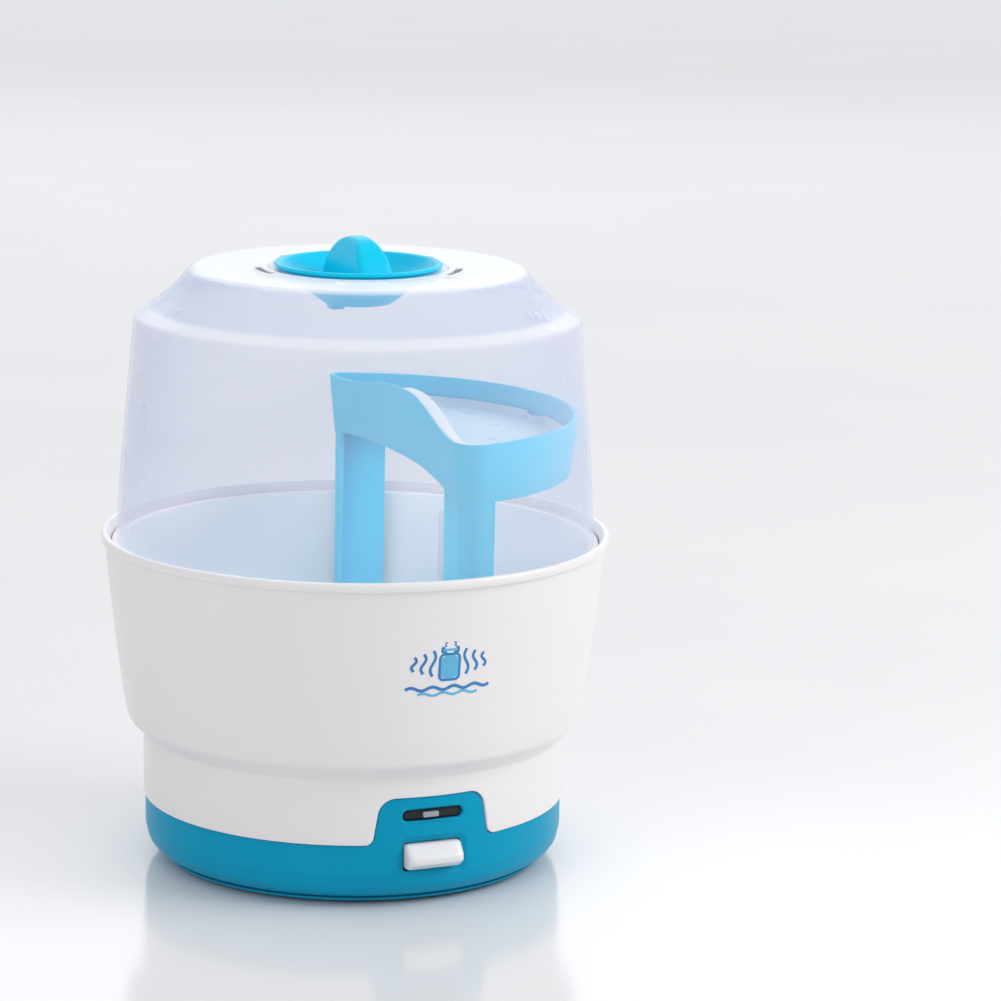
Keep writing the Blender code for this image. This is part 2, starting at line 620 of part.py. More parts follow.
def hoop_stations():
    """Places along the D outline as (part, t, bottom, top). A leg reaches down to the rack."""
    stations = []
    chord = [0.0, BACK_LEG_ON_CHORD, BACK_LEG_ON_CHORD + STEP, 0.2, CAP_SPAN[0] - STEP, *CAP_PLACES,
             FRONT_LEG_ON_CHORD - STEP, FRONT_LEG_ON_CHORD, CAP_SPAN[1] + STEP, 1.0]
    for t in sorted(chord):
        on_leg = t <= BACK_LEG_ON_CHORD or t >= FRONT_LEG_ON_CHORD
        capped = CAP_SPAN[0] <= t <= CAP_SPAN[1]
        top = HOOP_Z[1] + hump(t) - (CAP_T + GAP if capped else 0.0)
        stations.append((0, t, LEG_FOOT_Z if on_leg else arch(t), top))
    stations += [(1, i / 4, LEG_FOOT_Z, HOOP_Z[1]) for i in range(1, 5)]
    arc = [FRONT_LEG_ON_ARC, FRONT_LEG_ON_ARC + STEP]
    arc += [0.1 + 0.76 * i / 11 for i in range(12)]
    arc += [BACK_LEG_ON_ARC - STEP, BACK_LEG_ON_ARC]
    for t in arc:
        on_leg = t <= FRONT_LEG_ON_ARC or t >= BACK_LEG_ON_ARC
        stations.append((2, t, LEG_FOOT_Z if on_leg else HOOP_Z[0], HOOP_Z[1]))
    stations += [(3, i / 3, LEG_FOOT_Z, HOOP_Z[1]) for i in range(3)]
    return stations


def rack_frame(mat):
    """D-shaped band that leans in towards its lower edge, with two corner legs and an arched grip."""
    bm = bmesh.new()
    rings = []
    for part, t, bottom, top in hoop_stations():
        middle = max(HOOP_Z[0], bottom + 4.0)
        outside = [(hoop_lean(z), z) for z in (bottom, middle, top)]
        inside = [(inset + HOOP_WALL, z) for inset, z in reversed(outside)]
        rings.append([bm.verts.new((*hoop_point(part, t, inset), z)) for inset, z in outside + inside])
    for here, after in zip(rings, rings[1:] + rings[:1]):
        for k in range(6):
            bm.faces.new((here[k], after[k], after[(k + 1) % 6], here[(k + 1) % 6]))
    frame = add_object("rack_frame", bm, mat)
    low, high = TRAY_Z[0] - 2.6, TRAY_Z[0] - GAP
    for i, (part, t, reach) in enumerate(((2, 0.25, LUG_HALF), (2, 0.75, LUG_HALF), (0, 0.5, 2 * LUG_HALF))):
        spot = hoop_point(part, t, HOOP_WALL + LUG_HALF)
        lug = box("tray_lug_%d" % i, (-LUG_HALF, -LUG_HALF, low), (reach, LUG_HALF, high), None)
        fuse(frame, place(lug, (spot.x, spot.y, 0)))
    return frame


def grip_inlay(mat):
    """White cap that follows the arched top of the chord wall."""
    bm = bmesh.new()
    rings = []
    first, *between, last = CAP_PLACES
    for t in (first + STEP, *between, last - STEP):
        base = HOOP_Z[1] + hump(t) - CAP_T
        outer = hoop_point(0, t, CAP_INSET[0])
        inner = hoop_point(0, t, CAP_INSET[1])
        rings.append([bm.verts.new((*outer, base)), bm.verts.new((*outer, base + CAP_T)),
                      bm.verts.new((*inner, base + CAP_T)), bm.verts.new((*inner, base))])
    for here, after in zip(rings, rings[1:]):
        for k in range(4):
            bm.faces.new((here[k], after[k], after[(k + 1) % 4], here[(k + 1) % 4]))
    bm.faces.new(rings[0])
    bm.faces.new(reversed(rings[-1]))
    return add_object("grip_inlay", bm, mat)


def tray_outline(grow):
    """Outline inside the hoop, set back from the chord so that the tray clears the cap."""
    chord_inset = TRAY_CHORD_INSET + grow
    arc_inset = HOOP_WALL + TRAY_GAP + grow
    chord = [hoop_point(0, t, chord_inset) for t in (0.03, 0.97)]
    corner = [hoop_point(1, 0.75, arc_inset)]
    arc = [hoop_point(2, 0.02 + 0.96 * i / 18, arc_inset) for i in range(19)]
    return [tuple(point) for point in chord + corner + arc]


def accessory_tray(mat):
    low, high = TRAY_Z
    tray = prism("accessory_tray", tray_outline(0.0), low, high, mat)
    hollow = prism("tray_hollow", tray_outline(TRAY_WALL), low + TRAY_FLOOR_T, high + 5.0, None)
    notch = disc("tray_notch", TRAY_NOTCH_R, low - 5.0, high + 5.0, None, SEG_TINY)
    spot = hoop_point(2, TRAY_NOTCH_T, 0.0)
    cut(tray, hollow, place(notch, (spot.x, spot.y, 0)))
    return tray


def lid_shell(mat):
    outer = [(131.2, LID_BOTTOM), (130.9, 192.0), (129.4, 218.0), (127.2, 244.0), (124.9, 270.0),
             (122.4, 298.0), (121.4, 302.8), (117.6, 305.2), (108.6, 311.2), (98.6, 320.4), (92.2, 327.2),
             (88.6, LID_TOP)]
    inner = [(LID_HOLE_R, LID_TOP), (LID_HOLE_R, LID_TOP - LID_WALL), (87.8, LID_TOP - LID_WALL),
             (90.8, 325.4), (97.0, 318.8), (107.2, 309.4), (116.6, 302.9), (119.3, 301.2), (120.2, 297.6),
             (122.7, 269.8), (125.0, 243.8), (127.2, 217.8), (129.0, LID_BOTTOM)]
    lid = turned("lid_shell", outer + inner, mat, SEG_LARGE)
    for i in range(VENT_COUNT):
        turn = VENT_TURN + i * 2 * math.pi / VENT_COUNT
        cut(lid, ring_sector("steam_vent_%d" % i, VENT_R, VENT_W, VENT_HALF, LID_TOP - 8, LID_TOP + 5, turn))
    return lid


def knob_fin():
    """Half-disc grip, stacked from rounded slices that get shorter and thinner upwards."""
    bm = bmesh.new()
    low, high = FIN_Z
    rings = []
    for share in (0.0, 0.2, 0.4, 0.58, 0.74, 0.87, 0.96, 1.0):
        z = low + (high - low) * share
        length = max(math.sqrt(max(FIN_R ** 2 - (z - high + FIN_R) ** 2, 0.0)), 3.0)
        half = FIN_HALF[1] + (FIN_HALF[0] - FIN_HALF[1]) * math.sqrt(1 - share ** 2)
        corner = half * 0.35
        outline = [(half, -length + corner), (half, length - corner), (half - corner, length),
                   (corner - half, length), (-half, length - corner), (-half, corner - length),
                   (corner - half, -length), (half - corner, -length)]
        rings.append([bm.verts.new((x, y, z)) for x, y in outline])
    for here, after in zip(rings, rings[1:]):
        for k in range(8):
            bm.faces.new((here[k], here[(k + 1) % 8], after[(k + 1) % 8], after[k]))
    bm.faces.new(reversed(rings[0]))
    bm.faces.new(rings[-1])
    return add_object("fin", bm, None)


def lid_knob(mat):
    """Dish that drops through the lid, with the grip across it and a lock tab underneath."""
    profile = [(0, 309.4), (18.5, 309.4), (41.4, 326.0), (42.0, 329.6), (45.2, 329.6), (46.2, 330.6),
               (45.4, 331.8), (43.4, 332.0), (40.6, 328.6), (24.0, 317.4), (0, 317.0)]
    knob = turned("lid_knob", profile, mat, SEG_MEDIUM, closed=False)
    tab = box("lock_tab", (-16.0, -3.0, 306.8), (-8.0, 3.0, 311.0), None)
    fuse(knob, knob_fin(), tab)
    return knob


def build():
    clear_scene()
    white = material("casing_white", (0.86, 0.86, 0.87), 0.3)
    tub_white = material("tub_white", (0.82, 0.83, 0.85), 0.4)
    blue = material("trim_blue", (0.01, 0.38, 0.60), 0.35)
    knob_blue = material("knob_blue", (0.01, 0.50, 0.75), 0.35)
    frosted = material("lid_frosted", (0.80, 0.84, 0.93), 0.25, alpha=0.35)
    tray_clear = material("tray_clear", (0.72, 0.84, 0.96), 0.3, alpha=0.6)
    lever_white = material("lever_white", (0.88, 0.88, 0.90), 0.25)
    rubber = material("foot_rubber", (0.08, 0.08, 0.09), 0.8)
    silicone = material("gasket_silicone", (0.75, 0.75, 0.74), 0.6)
    steel = material("steel", (0.62, 0.62, 0.64), 0.3, metallic=1.0)
    aluminium = material("heater_aluminium", (0.66, 0.66, 0.67), 0.4, metallic=1.0)
    brass = material("brass", (0.75, 0.56, 0.25), 0.35, metallic=1.0)
    ceramic = material("ceramic", (0.84, 0.82, 0.76), 0.5)
    black = material("switch_black", (0.03, 0.03, 0.03), 0.5)
    smoked = material("lens_smoked", (0.04, 0.04, 0.05), 0.15, alpha=0.75)
    neon = material("lamp_neon", (0.80, 0.35, 0.15), 0.2)
    wire_a = material("wire_brown", (0.25, 0.11, 0.05), 0.5)
    wire_b = material("wire_blue", (0.05, 0.14, 0.45), 0.5)

    base_housing(white)
    trim_ring(blue)
    bottom_cover(blue)
    feet_and_screws(rubber, steel)
    inner_tub(tub_white)
    heater(steel, silicone, aluminium, brass)
    thermal_controls(ceramic, steel, white)
    lever(lever_white)
    switch_unit(black, steel, brass)
    indicator(smoked, white, neon)
    supply(rubber, ceramic, wire_a, wire_b)
    bottle_rack(blue)
    rack_frame(blue)
    grip_inlay(lever_white)
    accessory_tray(tray_clear)
    lid_shell(frosted)
    lid_knob(knob_blue)
    turned("knob_retainer", [(40.0, 324.4), (45.8, 324.4), (45.8, 326.8), (42.4, 326.8), (42.2, 326.0)],
           knob_blue, SEG_SMALL)


build()
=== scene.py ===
"""Looks of the electric steam bottle sterilizer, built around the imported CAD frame."""
import math

import bmesh
import bpy
from mathutils import Matrix, Quaternion, Vector


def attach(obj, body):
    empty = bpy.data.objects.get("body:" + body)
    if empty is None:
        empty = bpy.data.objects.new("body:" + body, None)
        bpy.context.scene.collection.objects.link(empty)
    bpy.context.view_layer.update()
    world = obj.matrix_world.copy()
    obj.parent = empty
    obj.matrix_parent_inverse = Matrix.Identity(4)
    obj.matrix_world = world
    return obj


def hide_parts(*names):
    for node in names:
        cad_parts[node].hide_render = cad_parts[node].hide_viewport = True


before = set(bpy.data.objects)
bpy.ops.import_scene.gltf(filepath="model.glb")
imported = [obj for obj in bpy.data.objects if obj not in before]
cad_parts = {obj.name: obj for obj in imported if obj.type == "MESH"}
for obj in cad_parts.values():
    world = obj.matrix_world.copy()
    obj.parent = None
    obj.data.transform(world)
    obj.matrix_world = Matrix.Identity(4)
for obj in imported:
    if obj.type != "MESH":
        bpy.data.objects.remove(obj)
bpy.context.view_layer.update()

MM = 0.001

# ---- sizes shared with the frame, in millimetres -------------------------------------------------
TRIM_R = 115.5
TRIM_TOP = 35.5
PANEL_TOP = 61.0
PANEL_TOP_HALF = 29.0
PANEL_FOOT_HALF = 33.2
PANEL_CORNER_R = 9.5
PANEL_FILLET_R = 5.0
SEAM = 0.35                       # gap between white housing and blue trim
SLOT_Z = 51.0
SLOT_HALF = (17.5, 3.1)
WINDOW_Z = (20.2, 36.0)
WINDOW_HALF = 16.9
PIVOT = (-107.0, 32.5)
LID_TOP = 329.3
VENT_R = 55.0
VENT_TURN = math.radians(-110.0)
VENT_COUNT = 5
HOOP_R = 121.0
HOOP_WALL = 2.5
HOOP_Z = (218.0, 250.0)
HOOP_TAPER = 3.0
CHORD_X = 20.0
CHORD_TURN = math.radians(4.2)
ARCH_TOP = 226.0
ARCH_PEAK = 0.66
ARCH_DROP = (22.0, 90.0)
BACK_FILLET_R = 5.0
FRONT_FILLET_R = 13.0
HUMP = 14.0
HUMP_PEAK = 0.64
CAP_T = 2.2
RACK_TOP = 98.5
BACK_LEG_ON_CHORD = 0.05
FRONT_LEG_ON_CHORD = 0.906
FRONT_LEG_ON_ARC = 0.018
BACK_LEG_ON_ARC = 0.915
FIN_R = 28.5
FIN_HALF = (11.0, 2.5)
FIN_Z = (316.0, 346.0)
TRAY_Z = (233.6, 239.0)
TRAY_CHORD_INSET = 9.2
CUP_ANGLES = (-28.0, 25.0, 97.0, 150.0, 203.0, 256.0)
CUP_CIRCLE_R = 75.0
FOOT_CIRCLE_R = 86.0
CORD_Z = 27.2

ROUND = 192                       # columns round a large turned piece


# ---- materials -----------------------------------------------------------------------------------
def new_material(name):
    made = bpy.data.materials.new(name)
    made.use_nodes = True
    return made, made.node_tree.nodes, made.node_tree.links


def noise(nodes, links, coords, scale, detail=3.0, roughness=0.5, stretch=None):
    if stretch:
        mapping = nodes.new("ShaderNodeMapping")
        mapping.inputs["Scale"].default_value = stretch
        links.new(coords, mapping.inputs["Vector"])
        coords = mapping.outputs["Vector"]
    made = nodes.new("ShaderNodeTexNoise")
    made.inputs["Scale"].default_value = scale
    made.inputs["Detail"].default_value = detail
    made.inputs["Roughness"].default_value = roughness
    links.new(coords, made.inputs["Vector"])
    return made.outputs["Fac"]


def ramp(nodes, links, factor, stops):
    """Colour that eases between the given stops as the factor rises."""
    made = nodes.new("ShaderNodeValToRGB")
    made.color_ramp.interpolation = "EASE"
    elements = made.color_ramp.elements
    for element, (place, colour) in zip(elements, stops):
        element.position = place
        element.color = (*colour, 1.0)
    links.new(factor, made.inputs["Fac"])
    return made.outputs["Color"]


def spread_values(nodes, links, factor, low, high):
    """Spreads a noise value evenly over the range from low to high."""
    made = nodes.new("ShaderNodeMapRange")
    made.interpolation_type = "SMOOTHERSTEP"
    made.inputs["To Min"].default_value = low
    made.inputs["To Max"].default_value = high
    links.new(factor, made.inputs["Value"])
    return made.outputs["Result"]


def add_bump(nodes, links, height, strength, distance, normal=None):
    """Adds a bump of the given height on top of any normal passed in."""
    made = nodes.new("ShaderNodeBump")
    made.inputs["Strength"].default_value = strength
    made.inputs["Distance"].default_value = distance
    links.new(height, made.inputs["Height"])
    if normal:
        links.new(normal, made.inputs["Normal"])
    return made.outputs["Normal"]


def plastic(name, colour, roughness=(0.28, 0.38), vary=0.04, grain=900.0, grain_bump=0.12,
            coat=0.0, alpha=None, edge_alpha=None, sheen_scale=9.0, specular=0.5, soft_bump=0.04):
    """Injection-moulded plastic: faint cloudy colour, uneven gloss and a fine moulded grain."""
    made, nodes, links = new_material(name)
    shader = nodes["Principled BSDF"]
    coords = nodes.new("ShaderNodeTexCoord").outputs["Object"]
    cloud = noise(nodes, links, coords, sheen_scale, 4.0)
    dark = tuple(c * (1 - vary) for c in colour)
    light = tuple(min(1.0, c * (1 + vary)) for c in colour)
    links.new(ramp(nodes, links, cloud, ((0.3, dark), (0.7, light))), shader.inputs["Base Color"])
    wear = noise(nodes, links, coords, 20.0, 2.0, 0.5)
    links.new(spread_values(nodes, links, wear, *roughness), shader.inputs["Roughness"])
    fine = noise(nodes, links, coords, grain, 2.0)
    soft = noise(nodes, links, coords, 7.0, 1.0)
    normal = add_bump(nodes, links, fine, grain_bump, 0.00006)
    links.new(add_bump(nodes, links, soft, soft_bump, 0.002, normal), shader.inputs["Normal"])
    shader.inputs["Coat Weight"].default_value = coat
    shader.inputs["Coat Roughness"].default_value = 0.12
    shader.inputs["Specular IOR Level"].default_value = specular
    if alpha is not None:
        haze = noise(nodes, links, coords, 14.0, 3.0)
        links.new(spread_values(nodes, links, haze, alpha * 0.93, alpha * 1.07), shader.inputs["Alpha"])
    if edge_alpha is not None:
        slant = nodes.new("ShaderNodeLayerWeight")
        slant.inputs["Blend"].default_value = 0.5
        rise = nodes.new("ShaderNodeMapRange")
        rise.interpolation_type = "SMOOTHSTEP"
        rise.inputs["From Min"].default_value = 0.05
        rise.inputs["From Max"].default_value = 0.95
        rise.inputs["To Min"].default_value = alpha
        rise.inputs["To Max"].default_value = edge_alpha
        links.new(slant.outputs["Facing"], rise.inputs["Value"])
        links.new(rise.outputs["Result"], shader.inputs["Alpha"])
    return made


def brushed_metal(name, colour, roughness, stretch=(1.0, 1.0, 60.0), scale=60.0):
    made, nodes, links = new_material(name)
    shader = nodes["Principled BSDF"]
    coords = nodes.new("ShaderNodeTexCoord").outputs["Object"]
    lines = noise(nodes, links, coords, scale, 5.0, 0.6, stretch)
    dark = tuple(c * 0.86 for c in colour)
    links.new(ramp(nodes, links, lines, ((0.35, dark), (0.65, colour))), shader.inputs["Base Color"])
    links.new(spread_values(nodes, links, lines, roughness * 0.75, roughness * 1.3),
              shader.inputs["Roughness"])
    links.new(add_bump(nodes, links, lines, 0.12, 0.0001), shader.inputs["Normal"])
    shader.inputs["Metallic"].default_value = 1.0
    return made


def turned_metal(name, colour, roughness):
    """Stainless plate with fine rings from spinning."""
    made, nodes, links = new_material(name)
    shader = nodes["Principled BSDF"]
    coords = nodes.new("ShaderNodeTexCoord").outputs["Object"]
    rings = nodes.new("ShaderNodeTexWave")
    rings.wave_type = "RINGS"
    rings.rings_direction = "Z"
    rings.inputs["Scale"].default_value = 420.0
    rings.inputs["Distortion"].default_value = 1.2
    links.new(coords, rings.inputs["Vector"])
    stain = noise(nodes, links, coords, 60.0, 6.0, 0.7)
    links.new(ramp(nodes, links, stain, ((0.3, tuple(c * 0.8 for c in colour)), (0.7, colour))),
              shader.inputs["Base Color"])
    links.new(spread_values(nodes, links, stain, roughness * 0.7, roughness * 1.4),
              shader.inputs["Roughness"])
    links.new(add_bump(nodes, links, rings.outputs["Fac"], 0.15, 0.0001), shader.inputs["Normal"])
    shader.inputs["Metallic"].default_value = 1.0
    return made


def lid_plastic():
    """Frosted clear plastic with lavender walls. The ledge at the shoulder's edge and the top carry a painted
    highlight, a whiter colour that is also made denser on the top, and the cone between them is a darker
    lavender.
    """
    made = plastic("lid_frosted", (0.72, 0.72, 0.85), (0.22, 0.30), 0.02, grain=600,
                   grain_bump=0.04, alpha=0.16, edge_alpha=0.36)
    nodes, links = made.node_tree.nodes, made.node_tree.links
    place_at = nodes.new("ShaderNodeSeparateXYZ")
    links.new(nodes["Texture Coordinate"].outputs["Object"], place_at.inputs["Vector"])
    height = nodes.new("ShaderNodeMapRange")
    height.inputs["From Min"].default_value = 0.295
    height.inputs["From Max"].default_value = 0.330
    links.new(place_at.outputs["Z"], height.inputs["Value"])
    # The whiter colour at the shoulder's ledge and on the top disc is a painted highlight; the wall and cone
    # colours stay lavender.
    wall, painted_highlight, cone = (0.72, 0.72, 0.85), (0.94, 0.95, 0.99), (0.62, 0.67, 0.84)
    tint_with_painted_highlight = ramp(nodes, links, height.outputs["Result"], ((0.16, wall), (0.26, painted_highlight)))
    stops = nodes[-1].color_ramp.elements
    for place_, colour in ((0.32, painted_highlight), (0.38, cone), (0.90, cone), (0.95, painted_highlight)):
        stops.new(place_).color = (*colour, 1.0)
    shader = nodes["Principled BSDF"]
    links.new(tint_with_painted_highlight, shader.inputs["Base Color"])
    # Raises the alpha on the top disc so that the painted highlight there reads as opaque white.
    painted_highlight_cover = nodes.new("ShaderNodeMapRange")
    for name, value in (("From Min", 0.90), ("From Max", 0.97), ("To Min", 0.0), ("To Max", 0.75)):
        painted_highlight_cover.inputs[name].default_value = value
    links.new(height.outputs["Result"], painted_highlight_cover.inputs["Value"])
    denser = nodes.new("ShaderNodeMath")
    denser.operation = "MAXIMUM"
    links.new(painted_highlight_cover.outputs["Result"], denser.inputs[0])
    links.new(shader.inputs["Alpha"].links[0].from_socket, denser.inputs[1])
    links.new(denser.outputs["Value"], shader.inputs["Alpha"])
    return made


def rubber(name, colour):
    return plastic(name, colour, (0.65, 0.85), vary=0.15, grain=500.0, grain_bump=0.35, specular=0.3)


# ---- mesh helpers --------------------------------------------------------------------------------
def link(name, mesh, mat, sharp=32.0):
    """Makes a smooth-shaded object from a mesh and puts it in the scene."""
    mesh.shade_smooth()
    mesh.set_sharp_from_angle(angle=math.radians(sharp))
    if mat:
        mesh.materials.clear()
        mesh.materials.append(mat)
    made = bpy.data.objects.new(name, mesh)
    bpy.context.collection.objects.link(made)
    return made


def from_bmesh(name, bm, mat, sharp=32.0):
    bmesh.ops.remove_doubles(bm, verts=bm.verts, dist=1e-4)
    bmesh.ops.recalc_face_normals(bm, faces=bm.faces)
    bmesh.ops.scale(bm, vec=(MM, MM, MM), verts=bm.verts)
    mesh = bpy.data.meshes.new(name)
    bm.to_mesh(mesh)
    bm.free()
    return link(name, mesh, mat, sharp)


def grid(name, rows, mat, close_rows=True, cap_ends=False, sharp=32.0):
    """Skin over rows of points. Rows follow each other, and the points of a row are its columns."""
    bm = bmesh.new()
    verts = [[bm.verts.new(p) for p in row] for row in rows]
    row_pairs = list(zip(verts, verts[1:]))
    if close_rows:
        row_pairs.append((verts[-1], verts[0]))
    for low, high in row_pairs:
        count = len(low)
        for i in range(count):
            j = (i + 1) % count
            bm.faces.new((low[i], low[j], high[j], high[i]))
    if cap_ends:
        bm.faces.new(verts[0])
        bm.faces.new(reversed(verts[-1]))
    return from_bmesh(name, bm, mat, sharp)


def rounded(corners, steps=6, closed=True):
    """Outline through (a, b, radius) corners, each rounded by its own radius."""
    points = []
    count = len(corners)
    for i, (a, b, radius) in enumerate(corners):
        if radius == 0 or (not closed and i in (0, count - 1)):
            points.append((a, b))
            continue
        here = Vector((a, b))
        to_before = (Vector(corners[i - 1][:2]) - here).normalized()
        to_after = (Vector(corners[(i + 1) % count][:2]) - here).normalized()
        half = to_before.angle(to_after) / 2
        if half > math.pi / 2 - 0.01:
            points.append((a, b))
            continue
        centre = here + (to_before + to_after).normalized() * (radius / math.sin(half))
        first = here + to_before * (radius / math.tan(half)) - centre
        last = here + to_after * (radius / math.tan(half)) - centre
        sweep = -first.angle_signed(last)
        for k in range(steps + 1):
            turn = sweep * k / steps
            points.append((centre.x + first.x * math.cos(turn) - first.y * math.sin(turn),
                           centre.y + first.x * math.sin(turn) + first.y * math.cos(turn)))
    return points


def lathe(name, profile, mat, columns=ROUND, closed=True):
    """Turn (radius, height) points about Z. An open profile starts and ends on the axis."""
    angles = [2 * math.pi * i / columns for i in range(columns)]
    rows = [[(r * math.cos(a), r * math.sin(a), z) for a in angles] for r, z in profile]
    return grid(name, rows, mat, close_rows=closed)


def box(name, low, high, mat, bevel=0.0, segments=3):
    """Box with optional rounded edges."""
    bm = bmesh.new()
    bmesh.ops.create_cube(bm, size=1.0)
    bmesh.ops.scale(bm, vec=[b - a for a, b in zip(low, high)], verts=bm.verts)
    bmesh.ops.translate(bm, vec=[(a + b) / 2 for a, b in zip(low, high)], verts=bm.verts)
    if bevel:
        bmesh.ops.bevel(bm, geom=bm.edges[:], offset=bevel, segments=segments, profile=0.5, affect="EDGES")
    return from_bmesh(name, bm, mat)


def apply_modifiers(obj, sharp=32.0):
    depsgraph = bpy.context.evaluated_depsgraph_get()
    mesh = bpy.data.meshes.new_from_object(obj.evaluated_get(depsgraph), depsgraph=depsgraph)
    obj.modifiers.clear()
    old = obj.data
    obj.data = mesh
    bpy.data.meshes.remove(old)
    mesh.shade_smooth()
    mesh.set_sharp_from_angle(angle=math.radians(sharp))
    return obj


def combine(obj, others, operation, sharp=32.0):
    for other in others:
        modifier = obj.modifiers.new("with_" + other.name, "BOOLEAN")
        modifier.operation = operation
        modifier.solver = "EXACT"
        modifier.object = other
    apply_modifiers(obj, sharp)
    for other in others:
        bpy.data.objects.remove(other, do_unlink=True)
    return obj


def place(obj, location=(0, 0, 0), rotation=(0, 0, 0)):
    """Move the mesh itself, so that every piece keeps its object at the origin."""
    turn = Matrix.Rotation(rotation[2], 4, "Z") @ Matrix.Rotation(rotation[1], 4, "Y")
    turn = turn @ Matrix.Rotation(rotation[0], 4, "X")
    obj.data.transform(Matrix.Translation(Vector(location) * MM) @ turn)
    return obj


def piece(obj, body, node=None):
    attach(obj, body)
    if node:
        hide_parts(*([node] if isinstance(node, str) else node))
    return obj


def polar(radius, degrees):
    angle = math.radians(degrees)
    return radius * math.cos(angle), radius * math.sin(angle)


# ---- casing --------------------------------------------------------------------------------------
def panel_edge():
    """Stations round the trim's top edge: (angle from the front, height, outward normal)."""
    side = 46.0
    path = rounded([(-side, TRIM_TOP, 0), (-PANEL_FOOT_HALF, TRIM_TOP, PANEL_FILLET_R),
                    (-PANEL_TOP_HALF, PANEL_TOP, PANEL_CORNER_R), (PANEL_TOP_HALF, PANEL_TOP, PANEL_CORNER_R),
                    (PANEL_FOOT_HALF, TRIM_TOP, PANEL_FILLET_R), (side, TRIM_TOP, 0)], steps=12, closed=False)
    fine = [path[0]]
    for a, b in zip(path, path[1:]):
        length = math.dist(a, b)
        parts = max(1, round(length / 2.0))
        fine += [(a[0] + (b[0] - a[0]) * k / parts, a[1] + (b[1] - a[1]) * k / parts)
                 for k in range(1, parts + 1)]
    stations = []
    for i, (x, z) in enumerate(fine):
        before = fine[max(i - 1, 0)]
        after = fine[min(i + 1, len(fine) - 1)]
        run = Vector((after[0] - before[0], after[1] - before[1])).normalized()
        stations.append((x, z, -run.y, run.x))
    end = math.asin(side / TRIM_R)
    rest = 2 * math.pi - 2 * end
    count = 200
    panel = [(math.asin(x / TRIM_R), z, nx, nz) for x, z, nx, nz in stations]
    around = [(end + rest * i / count, TRIM_TOP, 0.0, 1.0) for i in range(1, count)]
    return panel + around


EDGE = panel_edge()


def edge_row(radius, offset):
    """Row that follows the panel's edge at a radius, moved along the edge's normal by offset."""
    row = []
    for angle, z, nx, nz in EDGE:
        a = angle + nx * offset / TRIM_R
        row.append((radius * math.sin(a), -radius * math.cos(a), z + nz * offset))
    return row


def ring_row(radius, height):
    return [(radius * math.sin(a), -radius * math.cos(a), height) for a, _, _, _ in EDGE]


def between(low, high, parts):
    return [[Vector(a).lerp(Vector(b), k / parts) for a, b in zip(low, high)] for k in range(1, parts)]


def trim_ring(mat):
    under = rounded([(103.6, 6.2, 0), (103.6, 5.1, 0.3), (106.6, 5.1, 0.5), (110.6, 7.3, 6.0),
                     (113.9, 11.8, 6.0), (TRIM_R, 19.0, 6.0), (TRIM_R, 23.0, 0)], steps=5, closed=False)
    rows = [ring_row(r, z) for r, z in under]
    shoulder = edge_row(TRIM_R, -0.9)
    rows += between(rows[-1], shoulder, 6) + [shoulder]
    rows += [edge_row(TRIM_R - 0.08, -0.55), edge_row(TRIM_R - 0.3, -0.22), edge_row(TRIM_R - 0.7, -0.04),
             edge_row(TRIM_R - 1.0, 0.0), edge_row(TRIM_R - 2.5, 0.0), edge_row(TRIM_R - 2.5, -1.0)]
    rows += [ring_row(TRIM_R - 2.5, 22.0), ring_row(112.0, 15.6), ring_row(109.4, 11.0), ring_row(106.2, 7.8)]
    ring = grid("trim_ring_skin", rows, mat)
    cutters = [
        flared_cutter("slot_cutter", SLOT_HALF[0], SLOT_HALF[1], SLOT_HALF[1] * 0.98, SLOT_Z,
                      ((108.0, 0.0), (114.4, 0.0), (114.95, 0.12), (115.3, 0.42), (115.46, 0.8), (115.6, 1.1),
                       (118.0, 1.2))),
        flared_cutter("window_cutter", WINDOW_HALF, (WINDOW_Z[1] - WINDOW_Z[0]) / 2, 2.6,
                      (WINDOW_Z[0] + WINDOW_Z[1]) / 2,
                      ((108.0, 0.0), (113.7, 0.0), (113.95, 0.25), (114.2, 0.8), (114.55, 1.6), (114.95, 2.3),
                       (115.25, 2.75), (115.43, 3.1), (115.6, 3.5), (118.0, 3.6))),
        place(lathe("cord_cutter", [(5.3, -12.0), (5.3, 12.0)], None, 32, closed=False), (0, 112.0, CORD_Z),
              (math.pi / 2, 0, 0)),
    ]
    close_ends(cutters[2])
    return piece(combine(ring, cutters, "DIFFERENCE"), "base", "trim_ring")


def close_ends(obj):
    bm = bmesh.new()
    bm.from_mesh(obj.data)
    bmesh.ops.holes_fill(bm, edges=[e for e in bm.edges if e.is_boundary], sides=0)
    bmesh.ops.recalc_face_normals(bm, faces=bm.faces)
    bm.to_mesh(obj.data)
    bm.free()
    return obj


def flared_cutter(name, half_x, half_z, corner, z, rings):
    """Cutter in the curved wall whose mouth flares, so that the hole it leaves has a rounded edge."""
    rows = []
    for radius, grow in rings:
        a, b, c = half_x + grow, half_z + grow, corner + grow
        outline = rounded([(a, -b, c * 0.999), (a, b, c * 0.999), (-a, b, c * 0.999),
                           (-a, -b, c * 0.999)], steps=10)
        row = []
        for x, dz in outline:
            angle = x / TRIM_R
            row.append((radius * math.sin(angle), -radius * math.cos(angle), z + dz))
        rows.append(row)
    return grid(name, rows, None, close_rows=False, cap_ends=True)


